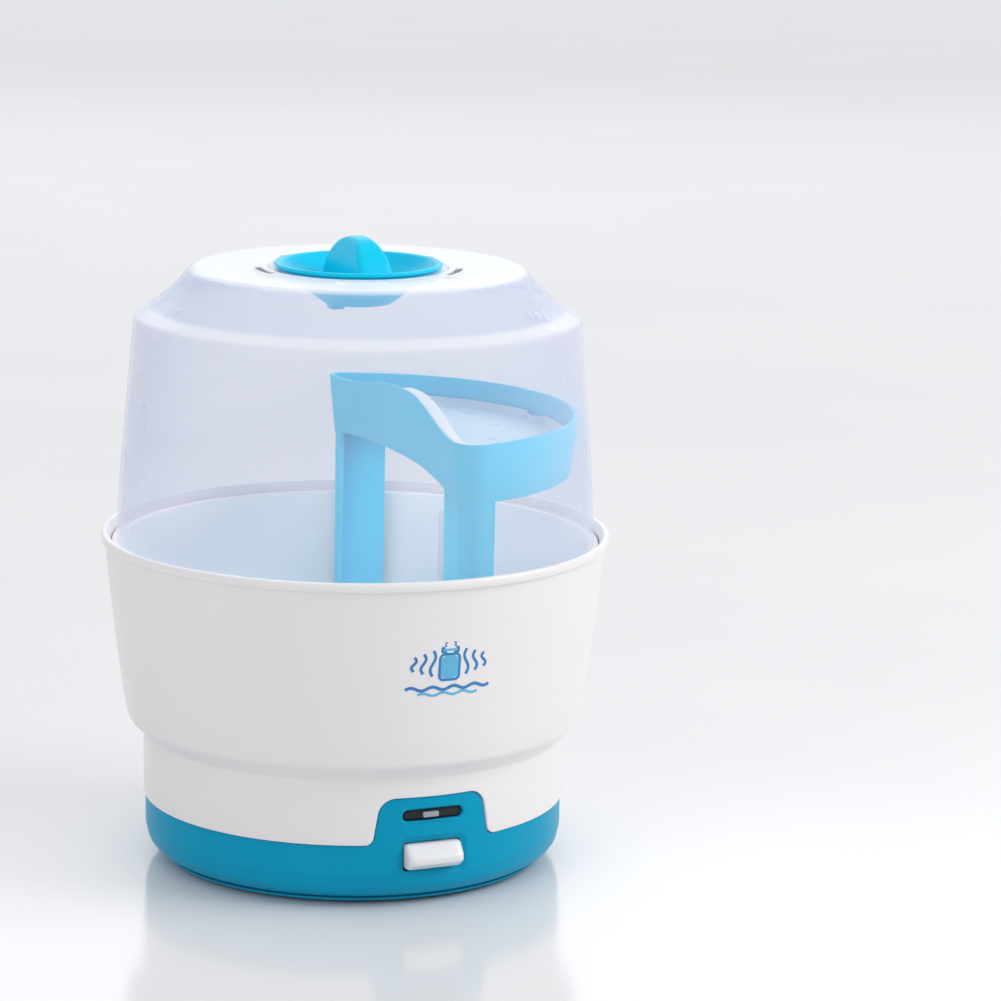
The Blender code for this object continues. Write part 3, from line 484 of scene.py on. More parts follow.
def base_housing(mat):
    upper = rounded([(116.5, 66.0, 0), (116.5, 71.6, 2.2), (119.4, 75.2, 6.0), (125.4, 80.4, 8.5),
                     (127.8, 93.0, 30.0), (132.4, 128.0, 60.0), (135.2, 152.0, 60.0), (137.3, 173.0, 8.0),
                     (137.9, 178.2, 1.0), (139.7, 178.6, 1.2), (140.0, 181.0, 1.4), (139.6, 183.5, 1.5),
                     (136.9, 183.6, 1.2), (134.9, 180.9, 1.6), (134.3, 176.2, 0)], steps=5, closed=False)
    inner = [(130.7, 175.9), (130.7, 173.4), (134.4, 171.0), (132.4, 152.0), (127.0, 106.0), (124.2, 89.0),
             (121.4, 82.2), (115.6, 76.8), (114.1, 72.0)]
    rows = [edge_row(114.1, SEAM), edge_row(115.6, SEAM), edge_row(116.1, SEAM + 0.05),
            edge_row(116.4, SEAM + 0.35), edge_row(116.5, SEAM + 0.8)]
    first = ring_row(*upper[0])
    rows += between(rows[-1], first, 6) + [first]
    rows += [ring_row(r, z) for r, z in upper[1:]] + [ring_row(r, z) for r, z in inner]
    rows.append(edge_row(114.1, SEAM + 1.0))
    return piece(grid("base_housing_skin", rows, mat), "base", "base_housing")


def housing_radius(z):
    """Outer radius of the white housing at the heights that the printed mark covers."""
    points = ((88.0, 127.0), (128.0, 132.5), (152.0, 135.1), (173.0, 137.2))
    for (z0, r0), (z1, r1) in zip(points, points[1:]):
        if z <= z1:
            return r0 + (r1 - r0) * (z - z0) / (z1 - z0)
    return points[-1][1]


def stroke(bm, path, width, closed=False):
    """Flat line of even width on the housing, from (across, up) points round the mark's centre."""
    count = len(path)
    left, right = [], []
    for i, (u, v) in enumerate(path):
        before = path[(i - 1) % count] if closed or i else path[0]
        after = path[(i + 1) % count] if closed or i < count - 1 else path[-1]
        run = Vector((after[0] - before[0], after[1] - before[1])).normalized()
        for side, points in ((1, left), (-1, right)):
            points.append(on_housing(u - run.y * side * width / 2, v + run.x * side * width / 2))
    rows = [[bm.verts.new(p) for p in points] for points in (left, right)]
    for i in range(count if closed else count - 1):
        j = (i + 1) % count
        bm.faces.new((rows[0][i], rows[0][j], rows[1][j], rows[1][i]))


def on_housing(across, up):
    z = MARK_Z + up
    radius = housing_radius(z) + 0.02
    angle = across / radius
    return (radius * math.sin(angle), -radius * math.cos(angle), z)


MARK_Z = 138.0


def wave(start, end, swing, turns, across=True, steps=28):
    points = []
    for i in range(steps + 1):
        t = i / steps
        u = start[0] + (end[0] - start[0]) * t
        v = start[1] + (end[1] - start[1]) * t
        shift = swing * math.sin(2 * math.pi * turns * t)
        points.append((u, v + shift) if across else (u + shift, v))
    return points


def printed_mark(mat, light_mat):
    """Generic pictogram: a plain feeding bottle with rising steam over a line of water."""
    bm = bmesh.new()
    body = rounded([(-5.6, -9.0, 2.4), (5.6, -9.0, 2.4), (5.6, 5.2, 2.6), (-5.6, 5.2, 2.6)], steps=6)
    collar = rounded([(-4.6, 6.4, 0.5), (4.6, 6.4, 0.5), (4.6, 8.8, 0.5), (-4.6, 8.8, 0.5)], steps=3)
    teat = rounded([(-3.2, 9.9, 0), (-2.6, 11.4, 1.2), (-1.1, 14.6, 0.9), (1.1, 14.6, 0.9), (2.6, 11.4, 1.2),
                    (3.2, 9.9, 0)], steps=5)
    for outline in (body, collar, teat):
        stroke(bm, outline, 1.4, closed=True)
    for k in range(3):
        v = -5.6 + 3.4 * k
        stroke(bm, [(-5.2, v), (-1.8, v)], 0.8)
    for side in (-1, 1):
        for k in range(3):
            u = side * (9.5 + 5.2 * k)
            reach = 6.6 - 1.6 * k
            stroke(bm, wave((u, -reach), (u, reach + 1.0), 1.3 * side, 1.0, across=False), 1.6)
    stroke(bm, wave((-24.0, -13.4), (24.0, -13.4), 0.9, 4.0, steps=72), 1.7)
    inked("printed_mark", bm, mat)
    bm = bmesh.new()
    for k in range(5):
        u = -4.0 + 2.0 * k
        reach = 0.8 if k in (0, 4) else 0.0
        stroke(bm, [(u, -8.3 + reach), (u, -2.0), (u, 4.5 - reach)], 2.0)
    for k in range(4):
        stroke(bm, [(-3.0 + 2.0 * k, 6.9), (-3.0 + 2.0 * k, 8.3)], 2.0)
    stroke(bm, wave((-17.0, -16.6), (17.0, -16.6), 0.7, 3.0, steps=54), 1.4)
    inked("printed_mark_fill", bm, light_mat)


def inked(name, bm, mat):
    """Gives a flat print a film's thickness and fixes it to the housing."""
    bmesh.ops.recalc_face_normals(bm, faces=bm.faces)
    mark = from_bmesh(name, bm, mat)
    solid = mark.modifiers.new("ink", "SOLIDIFY")
    solid.thickness = 0.12 * MM
    solid.offset = 0.0
    apply_modifiers(mark)
    piece(mark, "base")


def bottom_cover(mat, dark):
    profile = rounded([(0.0, 1.5, 0), (101.6, 1.5, 3.0), (105.6, 2.6, 1.0), (106.6, 4.0, 0.5),
                       (102.6, 4.0, 0.2), (102.6, 5.6, 0), (100.2, 5.6, 0), (100.2, 4.0, 0),
                       (0.0, 4.0, 0)], steps=5, closed=False)
    cover = lathe("bottom_cover_skin", profile, mat, closed=False)
    cutters = []
    for i in range(4):
        x, y = polar(FOOT_CIRCLE_R, 90.0 * i)
        cutters.append(place(lathe("foot_recess_%d" % i, [(0, 0.5), (8.5, 0.5), (8.5, 3.0), (0, 3.0)],
                                   None, 48, closed=False), (x, y, 0)))
        x, y = polar(86.0, 45.0 + 90.0 * i)
        well = [(0, 0.5), (5.0, 0.5), (5.0, 1.6), (4.4, 2.1), (4.4, 3.4), (0, 3.4)]
        cutters.append(place(lathe("screw_well_%d" % i, well, None, 40, closed=False), (x, y, 0)))
    for i in range(5):
        x = (i - 2) * 11.0
        outline = rounded([(x - 2.2, -24.0, 2.1), (x + 2.2, -24.0, 2.1), (x + 2.2, 24.0, 2.1),
                           (x - 2.2, 24.0, 2.1)])
        rows = [[(a, b, z) for a, b in outline] for z in (0.0, 6.0)]
        cutters.append(grid("vent_%d" % i, rows, None, close_rows=False, cap_ends=True))
    combine(cover, cutters, "DIFFERENCE")
    piece(cover, "base", "bottom_cover")
    ring = lathe("cover_rib", rounded([(68.0, 1.1, 0.3), (69.6, 1.1, 0.3), (69.6, 1.9, 0),
                                       (68.0, 1.9, 0)], 3), mat)
    piece(ring, "base")
    plate = box("rating_plate", (-24.0, -62.0, 1.28), (24.0, -40.0, 1.6), dark, 0.12, 2)
    piece(plate, "base")


def feet(mat):
    """Four rubber feet, each with a shallow dish under it."""
    side = rounded([(0.0, 0.25, 0), (4.0, 0.25, 0.2), (4.6, 0.0, 0.2), (7.2, 0.0, 0.8), (8.0, 1.2, 0.5),
                    (8.0, 2.7, 0), (0.0, 2.7, 0)], steps=4, closed=False)
    for i in range(4):
        foot = lathe("foot_skin_%d" % (i + 1), side, mat, 48, closed=False)
        place(foot, (*polar(FOOT_CIRCLE_R, 90.0 * i), 0))
        piece(foot, "base", "foot_%d" % (i + 1))


def cross_screw(name, at, mat):
    """Pan-head screw seen from below, with a cross recess."""
    side = rounded([(0.0, 1.9, 0), (2.9, 2.0, 0.8), (3.8, 2.9, 0.5), (3.8, 3.8, 0.1), (1.5, 3.8, 0),
                    (1.5, 21.0, 0), (0.0, 22.5, 0)], steps=4, closed=False)
    screw = lathe(name + "_skin", side, mat, 40, closed=False)
    arms = [box("arm_%d" % k, (-2.1, -0.45, 1.0), (2.1, 0.45, 2.9), None) for k in range(2)]
    place(arms[1], (0, 0, 0), (0, 0, math.pi / 2))
    combine(screw, arms, "DIFFERENCE")
    place(screw, (*at, 0))
    return piece(screw, "base", name)


def lever(mat):
    """Paddle with a crowned face that slopes out to a rounded tip near its lower edge."""
    half = 15.8
    side = rounded([(-111.5, 21.4, 0), (-116.4, 21.6, 2.4), (-121.6, 25.4, 2.4), (-121.9, 28.9, 2.6),
                    (-115.4, 35.4, 3.4), (-111.5, 35.4, 0)], steps=7, closed=False)
    middle = Vector((-113.5, 28.4))
    rows = []
    spots = [0.0, 0.25, 0.5, 0.72, 0.86, 0.94, 0.98, 1.0]
    ends = [-s for s in reversed(spots)] + spots[1:]
    for s in ends:
        edge = max(0.0, (abs(s) - 0.80) / 0.20)
        shrink = 1.0 - 0.30 * (1 - math.sqrt(max(0.0, 1 - edge ** 2)))
        crown = 1.0 + 0.045 * (1 - s * s)
        row = []
        for y, z in side:
            outward = (y - middle.x) * shrink * crown if y < -113.5 else (y - middle.x)
            tall = middle.y + (z - middle.y) * (1.0 - 0.16 * (1 - math.sqrt(max(0.0, 1 - edge ** 2))))
            row.append((s * half, middle.x + outward, tall))
        rows.append(row)
    paddle = grid("switch_lever_skin", rows, mat, close_rows=False, cap_ends=True, sharp=48)
    neck = box("lever_neck_skin", (-11.0, -112.6, 26.0), (11.0, -103.5, 35.0), None, 0.6)
    finger = box("lever_finger_skin", (-5.0, -104.5, 27.0), (5.0, -96.5, 31.0), None, 0.5)
    combine(paddle, [neck, finger], "UNION", sharp=40)
    bore = lathe("lever_bore_cutter", [(1.7, -20.0), (1.7, 20.0)], None, 24, closed=False)
    close_ends(bore)
    place(bore, (0, *PIVOT), (0, math.pi / 2, 0))
    combine(paddle, [bore], "DIFFERENCE", sharp=40)
    return piece(paddle, "lever", "switch_lever")


def indicator(lens_mat, lamp_mat):
    """Smoked lens in the slot, with a shallow pillow face."""
    rows = []
    for radius, grow in ((111.2, -0.35), (113.2, -0.35), (113.7, -0.5), (113.9, -0.9), (114.0, -1.7)):
        a, b = SLOT_HALF[0] + grow, SLOT_HALF[1] + grow
        outline = rounded([(a, -b, b * 0.99), (a, b, b * 0.99), (-a, b, b * 0.99), (-a, -b, b * 0.99)],
                          steps=8)
        rows.append([(radius * math.sin(x / TRIM_R), -radius * math.cos(x / TRIM_R), SLOT_Z + z)
                     for x, z in outline])
    lens = grid("indicator_lens_skin", rows, lens_mat, close_rows=False, cap_ends=True, sharp=50)
    window = place(box("lamp_window", (-6.0, -2.6, -1.4), (3.0, 0.0, 1.6), lamp_mat, 0.7),
                   (0, -113.0, SLOT_Z))
    piece(window, "base")
    return piece(lens, "base", "indicator_lens")


def cord_bushing(mat):
    """Collared sleeve where the cord enters."""
    side = rounded([(3.3, 0.0, 0.3), (6.3, 0.0, 0.4), (6.3, 3.4, 0.2), (5.0, 3.4, 0), (5.0, 7.2, 0),
                    (7.5, 7.2, 0.5), (7.5, 9.2, 0.8), (5.6, 11.2, 1.2), (4.2, 11.2, 0.4),
                    (3.3, 10.4, 0.3)], steps=4)
    bushing = lathe("cord_bushing_skin", side, mat, 64)
    place(bushing, (0, 108.7, CORD_Z), (-math.pi / 2, 0, 0))
    return piece(bushing, "base", "cord_bushing")


# ---- chamber and rack ----------------------------------------------------------------------------
def inner_tub(mat):
    """Water chamber liner, from its flange down to the plate it seals against."""
    side = rounded([(133.8, 176.4, 0.3), (133.8, 178.5, 0.5), (127.8, 178.6, 1.6), (126.6, 165.0, 20.0),
                    (121.6, 110.0, 20.0), (118.6, 93.0, 9.0), (112.0, 84.4, 9.0), (98.0, 80.2, 14.0),
                    (62.0, 77.2, 6.0), (54.0, 77.2, 0.6), (54.0, 74.8, 0.4), (62.0, 74.8, 4.0),
                    (98.4, 77.8, 14.0), (113.6, 82.0, 9.0), (121.0, 91.8, 9.0), (124.0, 109.6, 20.0),
                    (129.0, 165.0, 20.0), (129.7, 176.4, 0.5)], steps=4)
    return piece(lathe("inner_tub_skin", side, mat), "base", "inner_tub")


def heating_plate(mat):
    """Shallow steel dish in the middle of the chamber."""
    side = rounded([(0.0, 72.6, 0), (48.0, 71.6, 4.0), (60.0, 71.6, 0.4), (60.0, 73.1, 0.4),
                    (50.0, 73.1, 1.5), (46.0, 74.0, 1.5), (43.0, 73.4, 1.2), (38.0, 73.4, 2.0),
                    (0.0, 74.1, 0)], steps=4, closed=False)
    return piece(lathe("heating_plate_skin", side, mat, closed=False), "base", "heating_plate")


def bottle_rack(mat):
    """Round plate with steam holes, short legs and notched cups for the bottle necks."""
    side = rounded([(14.0, 96.0, 0.5), (112.6, 96.0, 0.8), (114.0, 93.5, 0.3), (116.4, 93.5, 0.6),
                    (116.4, 98.5, 1.0), (14.0, 98.5, 0.8)], steps=4)
    rack = lathe("bottle_rack_skin", side, mat)
    cutters = []
    for i, degrees in enumerate(CUP_ANGLES):
        x, y = polar(CUP_CIRCLE_R, degrees)
        for k in range(4):
            cutters.append(arc_slot("cup_slot_%d_%d" % (i, k), 16.5, 4.0, 0.5, 90.0, 104.0,
                                    k * math.pi / 2, (x, y)))
        hole = lathe("cup_hole_%d" % i, [(0, 90.0), (8.0, 90.0), (8.0, 104.0), (0, 104.0)], None, 40,
                     closed=False)
        cutters.append(place(hole, (x, y, 0)))
    for i in range(6):
        cutters.append(arc_slot("centre_slot_%d" % i, 32.0, 5.0, 0.34, 90.0, 104.0, i * math.pi / 3, (0, 0)))
    combine(rack, cutters, "DIFFERENCE")
    after = CUP_ANGLES[1:] + (CUP_ANGLES[0] + 360.0,)
    legs = []
    for i, pair in enumerate(zip(CUP_ANGLES, after)):
        leg = lathe("rack_leg_%d" % i, rounded([(0, 80.8, 0), (2.9, 80.8, 0.7), (3.3, 97.2, 0),
                                                (0, 97.2, 0)], 3, False), None, 24, closed=False)
        legs.append(place(leg, (*polar(93.0, sum(pair) / 2), 0)))
    combine(rack, legs, "UNION")
    piece(rack, "rack", "bottle_rack")
    for i, degrees in enumerate(CUP_ANGLES):
        wall = rounded([(25.0, 98.8, 0.3), (27.2, 98.8, 0.3), (27.2, 116.4, 0.4), (27.9, 117.2, 0.4),
                        (27.6, 118.0, 0.4), (25.4, 118.0, 0.5)], steps=3)
        cup = lathe("bottle_cup_skin_%d" % (i + 1), wall, mat, 96)
        notches = [box("cup_notch_%d" % k, (-40.0, -4.0, 109.0), (40.0, 4.0, 125.0), None)
                   for k in range(2)]
        place(notches[1], (0, 0, 0), (0, 0, math.pi / 2))
        combine(cup, notches, "DIFFERENCE")
        place(cup, (0, 0, 0), (0, 0, math.radians(degrees + 45)))
        place(cup, (*polar(CUP_CIRCLE_R, degrees), 0))
        piece(cup, "rack", "bottle_cup_%d" % (i + 1))


def arc_slot(name, radius, width, half_angle, low, high, turn, at):
    """Arc-shaped cutter with round ends."""
    cap = width / 2
    start, end = turn - half_angle, turn + half_angle

    def arc(centre, r, first, last, steps):
        return [(centre[0] + r * math.cos(first + (last - first) * k / steps),
                 centre[1] + r * math.sin(first + (last - first) * k / steps)) for k in range(steps + 1)]

    outline = arc(at, radius + cap, start, end, 18)
    tip = (at[0] + radius * math.cos(end), at[1] + radius * math.sin(end))
    outline += arc(tip, cap, end, end + math.pi, 8)[1:-1]
    outline += arc(at, radius - cap, end, start, 18)
    tip = (at[0] + radius * math.cos(start), at[1] + radius * math.sin(start))
    outline += arc(tip, cap, start + math.pi, start + 2 * math.pi, 8)[1:-1]
    rows = [[(x, y, z) for x, y in outline] for z in (low, high)]
    return grid(name, rows, None, close_rows=False, cap_ends=True)


def hoop_point(part, t, inset):
    """Point of the D outline. Parts: 0 chord, 1 front fillet, 2 arc, 3 back fillet."""
    along = Vector((math.sin(CHORD_TURN), math.cos(CHORD_TURN)))
    normal = Vector((math.cos(CHORD_TURN), -math.sin(CHORD_TURN)))
    offset = CHORD_X * math.cos(CHORD_TURN) + inset
    radius = HOOP_R - inset
    ends = []
    for side, fillet in ((1, BACK_FILLET_R), (-1, FRONT_FILLET_R)):
        small = max(fillet - inset, 0.6)
        reach = math.sqrt((radius - small) ** 2 - (offset + small) ** 2)
        ends.append((normal * (offset + small) + along * (side * reach), small))
    (back, back_r), (front, front_r) = ends
    if part == 0:
        return (back - normal * back_r).lerp(front - normal * front_r, t)
    if part == 2:
        start = math.atan2(front.y, front.x)
        end = math.atan2(back.y, back.x)
        angle = start + (end - start) * t
        return Vector((radius * math.cos(angle), radius * math.sin(angle)))
    wall = math.atan2(-normal.y, -normal.x)
    if part == 1:
        centre, small, start, end = front, front_r, wall, math.atan2(front.y, front.x)
    else:
        centre, small, start, end = back, back_r, math.atan2(back.y, back.x), wall
    if end < start:
        end += 2 * math.pi
    angle = start + (end - start) * t
    return centre + Vector((math.cos(angle), math.sin(angle))) * small


def hump(t):
    """Rise of the arched grip at the place t along the chord."""
    if t < HUMP_PEAK:
        return HUMP * math.sin(math.pi / 2 * t / HUMP_PEAK) ** 2
    return HUMP * math.cos(math.pi / 2 * (t - HUMP_PEAK) / (1 - HUMP_PEAK)) ** 2


def even(low, high, count):
    return [low + (high - low) * i / count for i in range(count + 1)]


def hoop_lean(z):
    """How far the band stands inside its outline at the height z."""
    share = (HOOP_Z[1] - z) / (HOOP_Z[1] - HOOP_Z[0])
    return HOOP_TAPER * min(max(share, 0.0), 1.0)


def arch(t):
    """Underside of the chord wall at the place t along it."""
    return ARCH_TOP - ARCH_DROP[0 if t < ARCH_PEAK else 1] * (t - ARCH_PEAK) ** 2


def hoop_stations():
    """Places along the D outline as (part, t, is it a leg, bottom, top without the cap)."""
    step = 0.003
    stations = []
    chord = even(0.0, BACK_LEG_ON_CHORD, 3) + even(BACK_LEG_ON_CHORD + step, FRONT_LEG_ON_CHORD - step, 56)
    for t in chord + even(FRONT_LEG_ON_CHORD, 1.0, 5):
        on_leg = t <= BACK_LEG_ON_CHORD or t >= FRONT_LEG_ON_CHORD
        stations.append((0, t, on_leg, arch(t), HOOP_Z[1] + hump(t)))
    stations += [(1, t, True, HOOP_Z[0], HOOP_Z[1]) for t in even(0.0, 1.0, 12)[1:]]
    arc = even(0.0, FRONT_LEG_ON_ARC, 2)[1:] + even(FRONT_LEG_ON_ARC + step, BACK_LEG_ON_ARC - step, 100)
    for t in arc + even(BACK_LEG_ON_ARC, 1.0, 8):
        on_leg = t <= FRONT_LEG_ON_ARC or t >= BACK_LEG_ON_ARC
        stations.append((2, t, on_leg, HOOP_Z[0], HOOP_Z[1]))
    return stations + [(3, t, True, HOOP_Z[0], HOOP_Z[1]) for t in even(0.0, 1.0, 8)[1:-1]]


def rack_frame(mat):
    """D-shaped band that leans in, with an arched chord and two corner legs a little inside the band."""
    foot = RACK_TOP + 0.3
    columns = []
    for part, t, on_leg, bottom, top in hoop_stations():
        step_down = CAP_T + 0.3 if (part == 0 and t >= 0.56) or part == 1 else 0.0
        lean = hoop_lean(bottom)
        low = foot if on_leg else bottom
        inset = 0.7 if on_leg else 0.3
        under = bottom - 1.0 if on_leg else bottom + 0.1
        outside = [(lean + inset, low), (lean + inset, under), (lean, bottom + 0.6),
                   (hoop_lean(bottom + 9.0), bottom + 9.0), (hoop_lean(top - 0.8), top - 0.8),
                   (0.2, top - 0.22), (0.6, top), (1.0, top)]
        inside = [(1.05, top - step_down), (HOOP_WALL - 0.5, top - step_down),
                  (HOOP_WALL + hoop_lean(top - step_down - 0.5), top - step_down - 0.5),
                  (HOOP_WALL + hoop_lean(bottom + 9.0), bottom + 9.0), (HOOP_WALL + lean, bottom + 0.6),
                  (HOOP_WALL + lean - (0.0 if on_leg else 0.3), under - (0.0 if on_leg else 0.1)),
                  (HOOP_WALL + lean - (0.0 if on_leg else 0.3), low)]
        columns.append([(*hoop_point(part, t, inset_), z) for inset_, z in outside + inside])
    frame_skin = grid("rack_frame_skin", [list(row) for row in zip(*columns)], mat, sharp=38)
    lugs = []
    for i, (part, t, reach) in enumerate(((2, 0.25, 3.0), (2, 0.75, 3.0), (0, 0.5, 6.0))):
        spot = hoop_point(part, t, HOOP_WALL + 3.0)
        lug = box("tray_lug_skin_%d" % i, (-3.0, -3.0, TRAY_Z[0] - 2.6), (reach, 3.0, TRAY_Z[0] - 0.3),
                  None, 0.4)
        lugs.append(place(lug, (spot.x, spot.y, 0)))
    combine(frame_skin, lugs, "UNION", sharp=38)
    piece(frame_skin, "rack", "rack_frame")


def leg_strip(mat):
    """Pale strip with a rounded top that stands beside the front leg."""
    start, end = 0.850, 0.902
    rows = []
    for t in even(start, end, 10):
        across = (t - start) / (end - start) * 2 - 1
        top = 203.0 + 6.0 * math.sqrt(max(0.0, 1 - across ** 2))
        rows.append([(*hoop_point(0, t, inset), z) for inset, z in
                     ((4.2, RACK_TOP + 0.3), (4.2, top - 0.5), (4.6, top), (5.6, top), (6.0, top - 0.5),
                      (6.0, RACK_TOP + 0.3))])
    strip = grid("leg_strip", rows, mat, close_rows=False, cap_ends=True, sharp=45)
    piece(strip, "rack")


def grip_inlay(mat):
    """White cap on the arched grip, widest in front of the peak and drawn out round the front corner."""
    rows = []
    places = [(0, t) for t in even(0.562, 1.0, 44)] + [(1, t) for t in even(0.0, 0.9, 8)[1:]]
    for i, (part, t) in enumerate(places):
        base = HOOP_Z[1] + (hump(t) if part == 0 else 0.0) - CAP_T
        end = min(i, len(places) - 1 - i)
        taper = min(1.0, 0.55 + 0.15 * end)
        share = i / (len(places) - 1)
        inner = 4.6 + 4.2 * math.sin(math.pi * min(share / 0.92, 1.0) ** 0.9) ** 0.6
        inner -= 18.0 * max(share - 0.92, 0.0)
        section = rounded([(1.2, base, 0.3), (1.2, base + CAP_T * taper, 0.5),
                           (inner, base + CAP_T * taper, 0.7), (inner, base, 0.4)], steps=4)
        rows.append([(*hoop_point(part, t, inset), z) for inset, z in section])
    cap = grid("grip_inlay_skin", rows, mat, close_rows=False, cap_ends=True, sharp=45)
    return piece(cap, "rack", "grip_inlay")


def tray_outline(grow):
    """Outline inside the hoop, set back from the chord so that the tray clears the cap."""
    notch_t, notch_half, depth = 0.56, 0.030, 6.0
    points = [hoop_point(0, t, TRAY_CHORD_INSET + grow) for t in even(0.035, 0.965, 20)]
    points += [hoop_point(1, t, HOOP_WALL + 2.3 + grow) for t in even(0.62, 1.0, 6)]
    for t in even(0.0, 0.985, 90)[1:]:
        extra = 0.0
        if abs(t - notch_t) < notch_half:
            extra = depth * math.cos(math.pi / 2 * (t - notch_t) / notch_half) ** 0.6
        points.append(hoop_point(2, t, HOOP_WALL + 2.3 + grow + extra))
    return points


def accessory_tray(mat):
    """Shallow tray with a rounded rim that hangs inside the band."""
    low, high = TRAY_Z
    layers = [(1.2, low), (0.4, low + 0.2), (0.0, low + 1.0), (0.0, high - 0.5), (0.3, high), (1.2, high),
              (1.6, high - 0.5), (1.8, low + 3.0), (2.6, low + 2.1), (4.0, low + 1.8)]
    rows = [[(p.x, p.y, z) for p in tray_outline(grow)] for grow, z in layers]
    tray = grid("accessory_tray_skin", rows, mat, close_rows=False, cap_ends=True, sharp=40)
    return piece(tray, "tray", "accessory_tray")


# ---- lid -----------------------------------------------------------------------------------------
def lid_shell(mat, vent_shade_mat):
    """Frosted lid with steam vents, and dark sheets of painted shade under the vents that lie beside and
    behind the knob.
    """
    side = rounded([(131.3, 178.8, 0.6), (131.2, 186.0, 30.0), (129.6, 216.0, 60.0), (127.2, 244.0, 60.0),
                    (124.9, 270.0, 60.0), (122.6, 297.0, 20.0), (121.8, 302.6, 1.6), (119.6, 304.0, 2.0),
                    (113.0, 307.4, 10.0), (105.6, 313.2, 16.0), (98.6, 320.2, 16.0), (92.6, 327.4, 3.0),
                    (88.4, LID_TOP, 3.0), (50.0, LID_TOP, 0.6), (48.6, LID_TOP - 1.0, 0.6),
                    (42.6, LID_TOP - 1.0, 0.3), (42.6, LID_TOP - 3.0, 0.3), (87.6, LID_TOP - 2.2, 2.4),
                    (91.2, 325.2, 3.0), (97.2, 318.4, 14.0), (104.2, 311.6, 14.0), (112.0, 305.4, 8.0),
                    (118.0, 302.2, 2.0), (120.0, 300.4, 1.6), (120.5, 296.6, 20.0), (122.8, 269.8, 60.0),
                    (125.1, 243.8, 60.0), (127.4, 215.8, 60.0), (128.9, 186.0, 30.0),
                    (129.0, 178.8, 0.5)], steps=5)
    lid = lathe("lid_shell_skin", side, mat, 224)
    turns = [VENT_TURN + i * 2 * math.pi / VENT_COUNT for i in range(VENT_COUNT)]
    vents = [arc_slot("vent_cutter_%d" % i, VENT_R, 4.4, math.radians(12), LID_TOP - 8, LID_TOP + 5, turn,
                      (0, 0)) for i, turn in enumerate(turns)]
    combine(lid, vents, "DIFFERENCE")
    lid.visible_shadow = False
    piece(lid, "lid", "lid_shell")
    # The dark sheets under four of the vents are painted shade: the slots there show only shade inside the
    # lid.
    for i in (1, 2, 3, 4):
        shade_sheet = arc_slot("vent_screen_%d" % i, VENT_R, 4.9, math.radians(12.3), LID_TOP - 2.0, LID_TOP - 1.0,
                          turns[i], (0, 0))
        shade_sheet.data.materials.clear()
        shade_sheet.data.materials.append(vent_shade_mat)
        piece(shade_sheet, "lid")


def lid_marks(mat):
    """Small raised moulding marks on the lid's shoulder and top; the patch on the left is a pale raised patch
    that is a painted highlight.
    """
    def on_cone(angle, along, lift=0.0):
        start, end = Vector((113.5, 306.9)), Vector((99.5, 319.2))
        at = start.lerp(end, along)
        normal = Vector((end.y - start.y, start.x - end.x)).normalized()
        at = at + normal * lift
        return (at.x * math.sin(angle), -at.x * math.cos(angle), at.y)

    def patch(name, middle, half, low, high, lift=0.55):
        rows = []
        for scale, up in ((1.0, -0.5), (1.0, lift * 0.5), (0.86, lift), (0.3, lift)):
            outline = rounded([(half, high, 0), (half, low, 0), (-half, low, 0), (-half, high, 0)], 1)
            row = []
            for k in range(24):
                corner = k / 24 * 4
                side = int(corner)
                part = corner - side
                a, b = outline[side], outline[(side + 1) % 4]
                u = a[0] + (b[0] - a[0]) * part
                v = a[1] + (b[1] - a[1]) * part
                centre_v = (low + high) / 2
                row.append(on_cone(middle + u * scale, centre_v + (v - centre_v) * scale, up))
            rows.append(row)
        made = grid(name, rows, mat, close_rows=False, cap_ends=True, sharp=60)
        return piece(made, "lid")

    base = math.radians(40.0)
    patch("lid_mark_1", base + 0.00, 0.020, 0.18, 0.52)
    patch("lid_mark_2", base - 0.055, 0.014, 0.30, 0.60)
    patch("lid_mark_3", base + 0.055, 0.016, 0.02, 0.26)
    # Pale raised patch on the left where the lid shows only a reflection: a painted highlight.
    patch("lid_painted_highlight_patch", math.radians(-84.0), 0.034, 0.30, 0.44)


def knob_fin():
    """Half-disc grip, stacked from rounded slices that get shorter and thinner upwards."""
    low, high = FIN_Z
    rows = []
    for k in range(41):
        share = math.sin(math.pi / 2 * k / 40)
        z = low + (high - low) * share
        length = max(math.sqrt(max(FIN_R ** 2 - (z - high + FIN_R) ** 2, 0.0)), 1.0)
        half = min(FIN_HALF[1] + (FIN_HALF[0] - FIN_HALF[1]) * math.sqrt(1 - share ** 2), length + 0.6)
        corner = half * 0.30
        rows.append([(x, y, z) for x, y in
                     rounded([(half, -length, corner), (half, length, corner), (-half, length, corner),
                              (-half, -length, corner)], steps=6)])
    return grid("fin", rows, None, close_rows=False, cap_ends=True)


def lid_knob(mat):
    """Dish with a half-disc fin across it, blended where they meet."""
    side = rounded([(0.0, 309.4, 0), (18.0, 309.4, 2.0), (41.2, 325.8, 2.0), (42.0, 329.5, 0.3),
                    (45.4, 329.5, 0.6), (46.3, 330.9, 1.2), (45.0, 332.2, 1.1), (42.6, 331.4, 2.5),
                    (38.0, 326.4, 5.0), (25.0, 317.6, 8.0), (0.0, 317.0, 0)], steps=6, closed=False)
    knob = lathe("lid_knob_skin", side, mat, 160, closed=False)
    fin = knob_fin()
    tab = box("lock_tab", (-17.0, -4.0, 306.6), (-9.0, 4.0, 311.0), None, 0.8)
    combine(knob, [fin, tab], "UNION")
    remesh = knob.modifiers.new("blend", "REMESH")
    remesh.mode = "VOXEL"
    remesh.voxel_size = 0.55 * MM
    remesh.use_smooth_shade = True
    smooth = knob.modifiers.new("soften", "SMOOTH")
    smooth.factor = 0.5
    smooth.iterations = 9
    apply_modifiers(knob, sharp=70)
    piece(knob, "lid", "lid_knob")
    ring = rounded([(40.2, 324.2, 0.4), (45.8, 324.2, 0.5), (45.8, 326.0, 0.4), (43.0, 326.0, 0.3)], steps=3)
    piece(lathe("knob_retainer_skin", ring, mat, 128), "lid", "knob_retainer")


